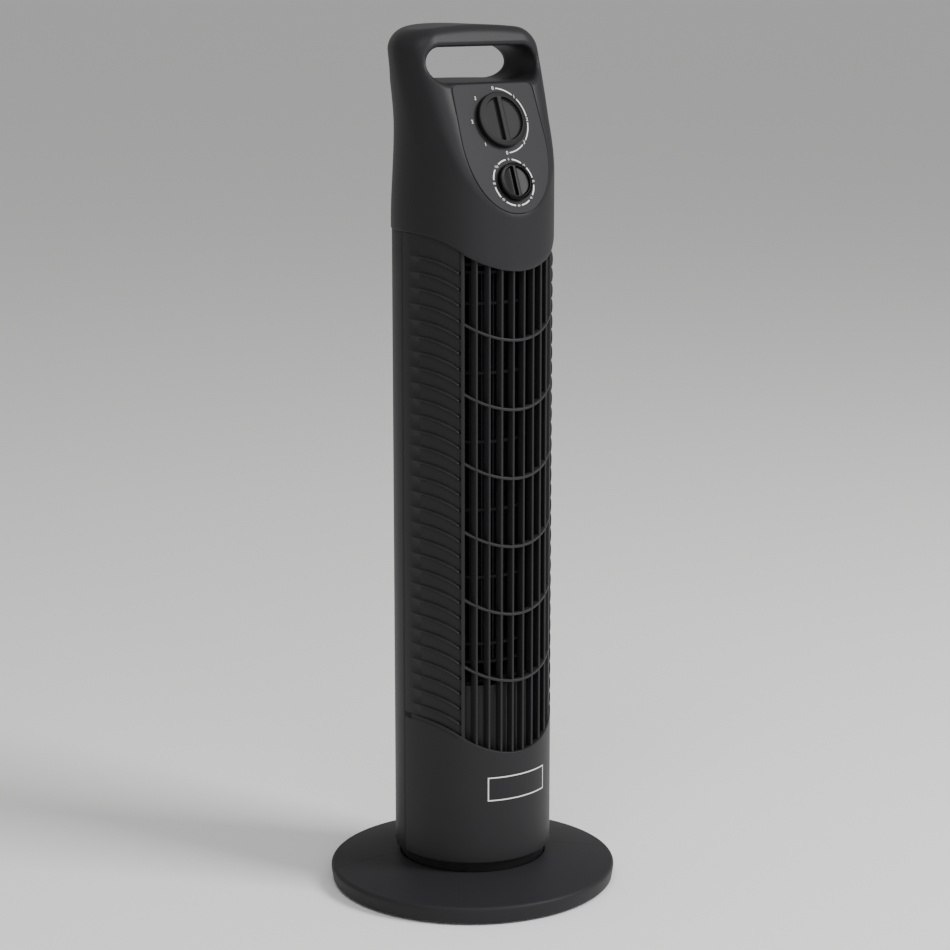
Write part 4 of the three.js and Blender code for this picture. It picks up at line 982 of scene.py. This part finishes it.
def head_skirt():
    left = np.arange(-180, -OPEN_HALF, 1.6)
    angles = np.concatenate([left, np.linspace(-OPEN_HALF, OPEN_HALF, 53), -left[::-1][:-1]])
    edge = head_edge(angles)
    levels = [(HEAD_RADIUS - 0.5, edge), (HEAD_RADIUS - 0.15, edge + 0.15), (HEAD_RADIUS, edge + 0.5)]
    levels += [(HEAD_RADIUS, edge + (HEAD_CUT - edge) * share) for share in (0.15, 0.35, 0.6, 0.8, 1.0)]
    outer = np.stack([polar(radius, angles, height) for radius, height in levels])
    inner = np.stack([polar(HEAD_RADIUS - WALL + 1.2, angles, height) for _, height in levels])
    rows, columns = outer.shape[:2]
    count = rows * columns
    faces = skin_faces(rows, columns, around=True)
    faces += [f[::-1] for f in skin_faces(rows, columns, count, around=True)]
    for j in range(columns):
        k = (j + 1) % columns
        faces.append((k, j, j + count, k + count))
        top = (rows - 1) * columns
        faces.append((top + j, top + k, top + k + count, top + j + count))
    return np.concatenate([outer.reshape(-1, 3), inner.reshape(-1, 3)]), faces


def block(low, high):
    points = [(x, y, z) for z in (low[2], high[2]) for y in (low[1], high[1]) for x in (low[0], high[0])]
    return points, [(0, 2, 3, 1), (4, 5, 7, 6), (0, 1, 5, 4), (2, 6, 7, 3), (0, 4, 6, 2), (1, 3, 7, 5)]


head_box = ((-76, -76, HEAD_CUT - 9), (76, 76, TOTAL_HEIGHT + 4))
head = make_piece("head", *field_surface(head_field, *head_box, HEAD_CELL), CHARCOAL, math.radians(60))
cutters = [make_piece("level", *block((-90, -90, HEAD_CUT - 40), (90, 90, HEAD_CUT)), CHARCOAL)]
recess_edge = ((0.35, -PANEL_THICKNESS - 0.35), (0.35, -0.45), (0.55, -0.12), (0.95, 0.12), (0.95, 8.0))
cutters.append(cutter_on_face("recess", [(panel_outline(grow), height) for grow, height in recess_edge]))
carve(head, *cutters, *spindle_holes(), smooth_angle=math.radians(40))
dress(head, "tower", "charcoal_abs", "head_shell")
skirt_ring = make_piece("head_skirt", *head_skirt(), CHARCOAL, math.radians(50))
dress(skirt_ring, "tower", "charcoal_abs")

# %% [markdown]
# The control panel is a thin plate of lighter grey, dropped into its recess. It is drawn a little
# smaller than the recess and with a rounded edge, so that a fine dark groove runs round it.

# %% Control panel
plate_edge = ((-0.1, -PANEL_THICKNESS), (-0.1, -0.5), (-0.2, -0.2), (-0.45, -0.05), (-0.8, 0.0))
points, faces = stacked([(panel_outline(grow), height) for grow, height in plate_edge])
panel = make_piece("control_plate", on_face(points), faces, PANEL_GREY)
carve(panel, *spindle_holes())
dress(panel, "tower", "panel_grey_abs", "control_panel")

# %% [markdown]
# Both knobs are one design in two sizes: a rim that slopes a little, and a blade to turn it by, left
# standing between two D-shaped pockets. A field says it in a few lines: a round body, less two pockets
# whose corners are rounded, less a bore for the spindle. Each knob turns on its own body.

# %% Knobs
KNOB_LIFT = 0.5
POCKET_FLOOR, BORE_TOP, BORE_RADIUS = 2.0, 1.6, 3.35
BLADE_SHARE, POCKET_SHARE = 0.12, 0.80
RIM_SLOPE, RIM_SCALE, RIM_ROUND, SIDE_TAPER = 0.22, 0.977, 0.7, 0.03


def knob_field(radius, height):
    """A low dial: a straight side, a sloping rim, and a pocket on each side of a blade."""
    blade, pocket, floor = radius * BLADE_SHARE, radius * POCKET_SHARE, POCKET_FLOOR

    def field(x, y, z):
        flat = np.hypot(x, y)
        bevel = (z - height + (flat - pocket) * RIM_SLOPE) * RIM_SCALE
        body = round_meet(flat - radius + SIDE_TAPER * z, np.maximum(bevel, z - height), RIM_ROUND)
        scoop = floor + height * 0.1 * smooth(blade, pocket, np.abs(x))
        blade_half = blade * (1.25 - 0.5 * np.clip((z - floor) / (height - floor), 0, 1))
        inside = round_meet(flat - pocket, blade_half - np.abs(x), radius * 0.05)
        inside = round_meet(inside, scoop - z, radius * 0.06)
        solid = round_meet(body, -inside, 0.4)
        bore = np.maximum(flat - BORE_RADIUS, z - BORE_TOP)
        return np.maximum(np.maximum(solid, -bore), -z)

    return field


def make_knob(name, radius, height, spot, cell, material):
    low, high = (-radius - 1, -radius - 1, -1.0), (radius + 1, radius + 1, height + 1)
    points, faces = field_surface(knob_field(radius, height), low, high, cell)
    placed = on_face(points + np.array([0, spot, KNOB_LIFT]))
    return make_piece(name, placed, faces, material, math.radians(50))


speed_knob = make_knob("speed_dial", 23.3, 5.6, SPEED_PLACE, 0.45, KNOB_BLACK)
dress(speed_knob, "speed_knob", "knob_black_abs", "speed_knob")
timer_knob = make_knob("timer_dial", 15.9, 4.8, TIMER_PLACE, 0.35, GLOSS_BLACK)
dress(timer_knob, "timer_knob", "gloss_black_abs", "timer_knob")

# %% [markdown]
# Round each knob is its scale: numbers and arcs in white ink. The numbers are plain digits from
# Blender's own font, made into mesh, and everything lies a few hundredths of a millimetre proud.

# %% Scales
INK_TOP, INK_UNDER, DIGIT_DEPTH = 0.05, -0.02, 0.035
SPEED_SCALE, SPEED_ARC, SPEED_DIGIT = 27.6, 0.9, 4.2
TIMER_SCALE, TIMER_ARC, TIMER_DIGIT = 19.6, 1.1, 2.6


def face_arc(centre, radius, width, start, stop):
    """A flat arc of ink on the face. Angles run clockwise from the top."""
    turns = np.radians(np.linspace(start, stop, max(3, int(abs(stop - start) / 3) + 2)))
    rows = []
    for height in (INK_TOP, INK_UNDER):
        for r in (radius - width / 2, radius + width / 2):
            flat = [r * np.sin(turns), centre + r * np.cos(turns)]
            rows.append(np.column_stack([*flat, np.full(len(turns), height)]))
    return closed_sheet(np.stack(rows[:2]), np.stack(rows[2:]))


def face_number(text, centre, radius, turn, height):
    curve = bpy.data.curves.new("digits", "FONT")
    curve.body, curve.size, curve.extrude = text, height, DIGIT_DEPTH
    curve.align_x, curve.align_y = "CENTER", "CENTER"
    holder = bpy.data.objects.new("digits", curve)
    bpy.context.scene.collection.objects.link(holder)
    bpy.context.view_layer.update()
    shaped = holder.evaluated_get(bpy.context.evaluated_depsgraph_get())
    mesh = bpy.data.meshes.new_from_object(shaped)
    points = np.array([v.co for v in mesh.vertices]).reshape(-1, 3)
    faces = [tuple(p.vertices) for p in mesh.polygons]
    bpy.data.objects.remove(holder)
    angle = math.radians(turn)
    spot = np.array([radius * math.sin(angle), centre + radius * math.cos(angle), 0.02])
    return points + spot, faces


scale = [
    face_arc(SPEED_PLACE, SPEED_SCALE, SPEED_ARC, start + 5.5, start + 39.5) for start in (0, 45, 90, 135)
]
for turn, text in zip(range(0, 360, 45), "01230123"):
    scale.append(face_number(text, SPEED_PLACE, SPEED_SCALE, turn, SPEED_DIGIT))
for turn in range(0, 360, 45):
    scale.append(face_arc(TIMER_PLACE, TIMER_SCALE, TIMER_ARC, turn + 9, turn + 36))
for turn in range(0, 360, 45):
    scale.append(face_number(str(turn // 3), TIMER_PLACE, TIMER_SCALE, turn, TIMER_DIGIT))
points, faces = merge([(np.asarray(p, float), [tuple(f) for f in fs]) for p, fs in scale])
scales = make_piece("printed_scales", on_face(points), faces, WHITE_INK)
dress(scales, "tower", "panel_grey_abs")

# %% [markdown]
# The base is an oval dish in two halves that meet along a straight seam. Each half is a closed sheet
# through a profile whose points slide outwards from a round centre to an oval rim.

# %% Base halves
BASE_RIM, BASE_RIM_ACROSS, BASE_SKIN = 124.0, 121.5, 2.6
BASE_TURN = -23.2
HOLE_RADIUS, FLANGE_RADIUS = 62.95, 71.6
RIM_TOP, FOOT_HEIGHT, BASE_RISE = 16.6, 2.2, 9.5


def oval(radius, angle):
    turn = np.radians(angle)
    rim = 1 / np.hypot(np.sin(turn), np.cos(turn) * BASE_RIM / BASE_RIM_ACROSS)
    return radius * (1 + (rim - 1) * smooth(FLANGE_RADIUS, BASE_RIM, radius))


def crown_height(radius):
    reach = (radius - HOLE_RADIUS) / (BASE_RIM - 3 - HOLE_RADIUS)
    return RIM_TOP + BASE_RISE - BASE_RISE * reach**1.3


def base_profile():
    shelf = [(r, crown_height(r)) for r in np.linspace(HOLE_RADIUS + 0.6, BASE_RIM - 4.2, 22)]
    start = (BASE_RIM - 4.2, crown_height(BASE_RIM - 4.2))
    over = ((-1.2, 0.1), (0.1, -1.4), (0, -4.0))
    edge = bezier([np.array(start)] + [np.array((BASE_RIM + out, RIM_TOP + up)) for out, up in over], 9)
    side = [(BASE_RIM - 0.45, RIM_TOP - 7.5)]
    tuck = ((1.1, 3), (1.45, 0.8), (2.0, 0.15), (2.6, 0))
    side += [(BASE_RIM - inset, FOOT_HEIGHT + up) for inset, up in tuck]
    crown = crown_height(HOLE_RADIUS)
    lip = [(HOLE_RADIUS, crown - BASE_SKIN), (HOLE_RADIUS, crown - 0.7)]
    return np.array(lip + shelf + [tuple(p) for p in edge[1:]] + side)


def base_half(first, last):
    profile = base_profile()
    angles = np.linspace(first, last, 121)
    outer = np.stack([polar(oval(r, angles), angles, np.full(len(angles), h)) for r, h in profile])
    skin = [(HOLE_RADIUS, crown_height(HOLE_RADIUS) - BASE_SKIN - 0.05)]
    skin += [(r - min(1.0, 0.02 * (r - HOLE_RADIUS)) - BASE_SKIN * smooth(BASE_RIM - 9, BASE_RIM - 1, r),
              max(h - BASE_SKIN, FOOT_HEIGHT)) for r, h in profile[1:]]
    inner = np.stack([polar(oval(r, angles), angles, np.full(len(angles), h)) for r, h in skin])
    points, faces = closed_sheet(outer, inner)
    turn = np.array(Matrix.Rotation(math.radians(BASE_TURN), 3, "Z"))
    return points @ turn.T, faces


SEAM_TURN = 0.1
for name, first, node in (("base_front", -90, "base_front_half"), ("base_rear", 90, "base_rear_half")):
    half = make_piece(name, *base_half(first + SEAM_TURN, first + 180 - SEAM_TURN), CHARCOAL_BASE)
    dress(half, "base", "charcoal_abs", node)

# %% [markdown]
# The impeller is a drum of thin curved blades between discs, seen as fine dark lines through the
# grille. A blade is one curved strip, turned round the axis by Geometry Nodes, and the discs between
# the cells are one ring repeated by a step.

# %% Impeller
IMPELLER_RADIUS = 45.0
IMPELLER_LOW, IMPELLER_HIGH = (corner.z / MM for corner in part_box("impeller"))
BLADE_COUNT = 28
BLADE_DEPTH, BLADE_HALF_THICKNESS = 9.0, 0.45
DISC = 2.4


def blade_strip():
    depth = np.linspace(0, 1, 9)
    radius = IMPELLER_RADIUS - 0.8 - BLADE_DEPTH * depth
    lean = 9.0 * depth**1.7
    sides = []
    for offset in (BLADE_HALF_THICKNESS, -BLADE_HALF_THICKNESS):
        turn = lean + np.degrees(offset / radius)
        ends = (IMPELLER_LOW + 1, IMPELLER_HIGH - 1)
        sides.append(np.stack([polar(radius, turn, h + 0 * turn) for h in ends]))
    return closed_sheet(*sides)


blades = make_piece("impeller_blades", *blade_strip(), INNER_BLACK)
repeat(blades, TURN_TREE, Count=BLADE_COUNT, Turn=2 * math.pi / BLADE_COUNT, First=0.0, Finish=INNER_BLACK)
dress(blades, "impeller", "inner_black_abs", "impeller")


def flat_ring(inner, outer, low, high, sides=96):
    profile = [(inner, low), (outer, low), (outer, high), (inner, high), (inner, low)]
    return lathe(profile, sides)


middle = FIRST_BAR + BAR_PITCH / 2
disc_inner = IMPELLER_RADIUS - BLADE_DEPTH - 2
disc = flat_ring(disc_inner, IMPELLER_RADIUS, middle - DISC / 2, middle + DISC / 2)
discs = make_piece("impeller_discs", *disc, INNER_BLACK)
repeat(discs, STEP_TREE, Count=BAR_COUNT, Step=(0, 0, BAR_PITCH * MM), Finish=INNER_BLACK)
dress(discs, "impeller", "inner_black_abs")
ends = merge([flat_ring(12.4, IMPELLER_RADIUS, IMPELLER_LOW, IMPELLER_LOW + DISC),
              flat_ring(3.2, IMPELLER_RADIUS, IMPELLER_HIGH - DISC, IMPELLER_HIGH)])
dress(make_piece("impeller_ends", *ends, INNER_BLACK), "impeller", "inner_black_abs")

# %% [markdown]
# The casing screws sit at the bottom of wells in the rear half. Each well is a short tube whose outer
# end follows the round wall, so the tube is kept only where it lies inside a cylinder. The holes in
# the wall, and the one for the cord's gland, are cut with the same boolean as the head's recess.

# %% Screw wells and the gland's hole
WELL_X, WELL_HEIGHTS = 54.0, (76.0, 172.0, 558.0)
WELL_BORE, WELL_OUTSIDE, WELL_FLOOR = 3.95, 5.6, 33.9
GLAND_HEIGHT, GLAND_BORE = 62.0, 6.3


def along_y(part, x, z):
    """Lays an upright part down so that its height runs towards +Y."""
    points, faces = part
    return np.column_stack([points[:, 0] + x, points[:, 2], -points[:, 1] + z]), faces


def hole_cutter(radius, x, z):
    rod = lathe([(0, 20), (radius, 20), (radius, 90), (0, 90)], 40)
    return make_piece("hole", *along_y(rod, x, z), CHARCOAL)


well_spots = [(side * WELL_X, height) for side in (-1, 1) for height in WELL_HEIGHTS]
cutters = [hole_cutter(WELL_BORE, x, z) for x, z in well_spots]
carve(rear_casing, *cutters, hole_cutter(GLAND_BORE, 0, GLAND_HEIGHT), smooth_angle=math.radians(40))
dress(rear_casing, "tower", "charcoal_abs", "rear_housing")

well_profile = [(1.9, WELL_FLOOR - 2), (WELL_OUTSIDE, WELL_FLOOR - 2), (WELL_OUTSIDE, 60), (WELL_BORE, 60),
                (WELL_BORE, WELL_FLOOR), (1.9, WELL_FLOOR), (1.9, WELL_FLOOR - 2)]
tubes = [along_y(lathe(well_profile, 40), x, z) for x, z in well_spots]
wells = make_piece("screw_wells", *merge(tubes), CHARCOAL)
reach = COLUMN_RADIUS - 0.5
inside = make_piece("inside", *lathe([(0, 20), (reach, 20), (reach, 640), (0, 640)], 180), CHARCOAL)
use(wells, "BOOLEAN", object=inside, operation="INTERSECT", solver="MANIFOLD")
bake(wells)
bpy.data.objects.remove(inside)
dress(wells, "tower", "charcoal_abs")

# %% [markdown]
# Screws and feet are small but they show from behind and below. A screw is a turned pan head with a
# cross recess cut by a boolean, then placed wherever the working model has one.

# %% Screws and feet
def cross_recess(size, width, low, high):
    halves = ((size, width), (width, size))
    return [make_piece("cross", *block((-x, -y, low), (x, y, high)), STEEL) for x, y in halves]


def pan_head_screw():
    """A screw with its head downwards, about its own middle."""
    profile = [(0, -1.2), (1.6, -1.15), (2.8, -0.8), (3.4, -0.2), (3.6, 0.5), (3.6, 1.2), (0, 1.2)]
    screw = make_piece("screw", *lathe(profile, 40), STEEL)
    carve(screw, *cross_recess(1.9, 0.45, -2, -0.1))
    return screw


base_screws = [f"base_screw_{i}" for i in range(4)]
spots = [(middle_of(n).x, middle_of(n).y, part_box(n)[0].z / MM + 1.2) for n in base_screws]
dress(repeat_at("base_screws", pan_head_screw(), spots, STEEL), "base", "steel", *base_screws)
housing_screws = [f"housing_screw_{i}" for i in range(6)]
spots = [(middle_of(n).x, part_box(n)[1].y / MM - 1.2, middle_of(n).z) for n in housing_screws]
screw = pan_head_screw()
screw.data.transform(Matrix.Rotation(math.pi / 2, 4, "X"))
dress(repeat_at("housing_screws", screw, spots, STEEL), "tower", "steel", *housing_screws)

feet = [f"base_foot_{i}" for i in range(8)]
foot_profile = [(0, 0), (4.2, 0), (5.0, 0.15), (5.6, 0.5), (5.9, 1.0), (6.2, 1.8), (6.5, 2.2), (6.5, 8.2),
                (0, 8.2)]
spots = [(middle_of(n).x, middle_of(n).y, 0) for n in feet]
foot = make_piece("foot", *lathe(foot_profile, 40), RUBBER)
dress(repeat_at("base_feet", foot, spots, RUBBER), "base", "rubber", *feet)

# %% [markdown]
# The rest keeps the working model's own shapes: motor, brackets, bushes, switches and the swivel. They
# are inside, or turned pieces that are right already, so they only need their finishes.

# %% Finishes of the working model's own pieces
FINISHES = {
    "charcoal_abs": CHARCOAL,
    "inner_black_abs": INNER_BLACK,
    "panel_grey_abs": PANEL_GREY,
    "knob_black_abs": KNOB_BLACK,
    "gloss_black_abs": GLOSS_BLACK,
    "rubber": RUBBER,
    "steel": STEEL,
    "iron_laminations": LAMINATIONS,
    "sintered_bronze": BRONZE,
    "white_acetal": ACETAL,
}
for entry in frame["record"]["subparts"]:
    mesh = frame["nodes"][entry["node"]].data
    mesh.materials.clear()
    mesh.materials.append(FINISHES[entry["material_slot"]])
print("finished:", sum(1 for o in frame["nodes"].values() if not o.hide_render), "working pieces shown")

# %% [markdown]
# The studio is plain: a pale floor that runs off into a pale surround, a large soft key light high on
# the right, a weaker fill in front on the left, and a small light above on the left that picks out the
# ribs. Dark plastic shows its form by reflections, so the lights are broad.

# %% Floor, lights and camera
floor_mesh = bpy.data.meshes.new("floor")
floor_mesh.from_pydata([(-40, -40, 0), (40, -40, 0), (40, 40, 0), (-40, 40, 0)], [], [(0, 1, 2, 3)])
floor = bpy.data.objects.new("floor", floor_mesh)
bpy.context.scene.collection.objects.link(floor)
floor_paint, _, _ = start_material("pale_floor", Base_Color=linear("#fbfbfa"), Roughness=0.9)
floor_mesh.materials.append(floor_paint)

world = bpy.data.worlds.new("pale_surround")
bpy.context.scene.world = world
world.use_nodes = True
world.node_tree.nodes["Background"].inputs["Color"].default_value = (1, 1, 1, 1)
world.node_tree.nodes["Background"].inputs["Strength"].default_value = 0.42


def soft_light(name, place, target, size, power):
    data = bpy.data.lights.new(name, "AREA")
    data.shape, data.size, data.size_y, data.energy = "RECTANGLE", size[0], size[1], power
    lamp = bpy.data.objects.new(name, data)
    bpy.context.scene.collection.objects.link(lamp)
    lamp.location = place
    lamp.rotation_mode = "QUATERNION"
    lamp.rotation_quaternion = (Vector(target) - Vector(place)).to_track_quat("-Z", "Y")
    return lamp


soft_light("key", (1.3, -2.2, 2.3), (0, 0, 0.4), (1.0, 1.4), 110)
soft_light("fill", (-0.9, -2.6, 1.5), (0, 0, 0.4), (1.2, 1.6), 17)
soft_light("top", (-1.1, -0.9, 2.5), (0, 0, 0.4), (0.8, 0.8), 14)

CAMERA_PLACE = (-1.2307, -1.7127, 0.797)
CAMERA_HEADING = math.radians(35.7 + 0.058)
CAMERA_PITCH = math.radians(-11.715)
camera_data = bpy.data.cameras.new("camera")
camera_data.lens, camera_data.sensor_width = 95.78, 36.0
camera_data.clip_start, camera_data.clip_end = 0.1, 100
camera = bpy.data.objects.new("camera", camera_data)
bpy.context.scene.collection.objects.link(camera)
bpy.context.scene.camera = camera
camera.location = CAMERA_PLACE
camera.rotation_mode = "XYZ"
camera.rotation_euler = (math.pi / 2 + CAMERA_PITCH, 0, -CAMERA_HEADING)
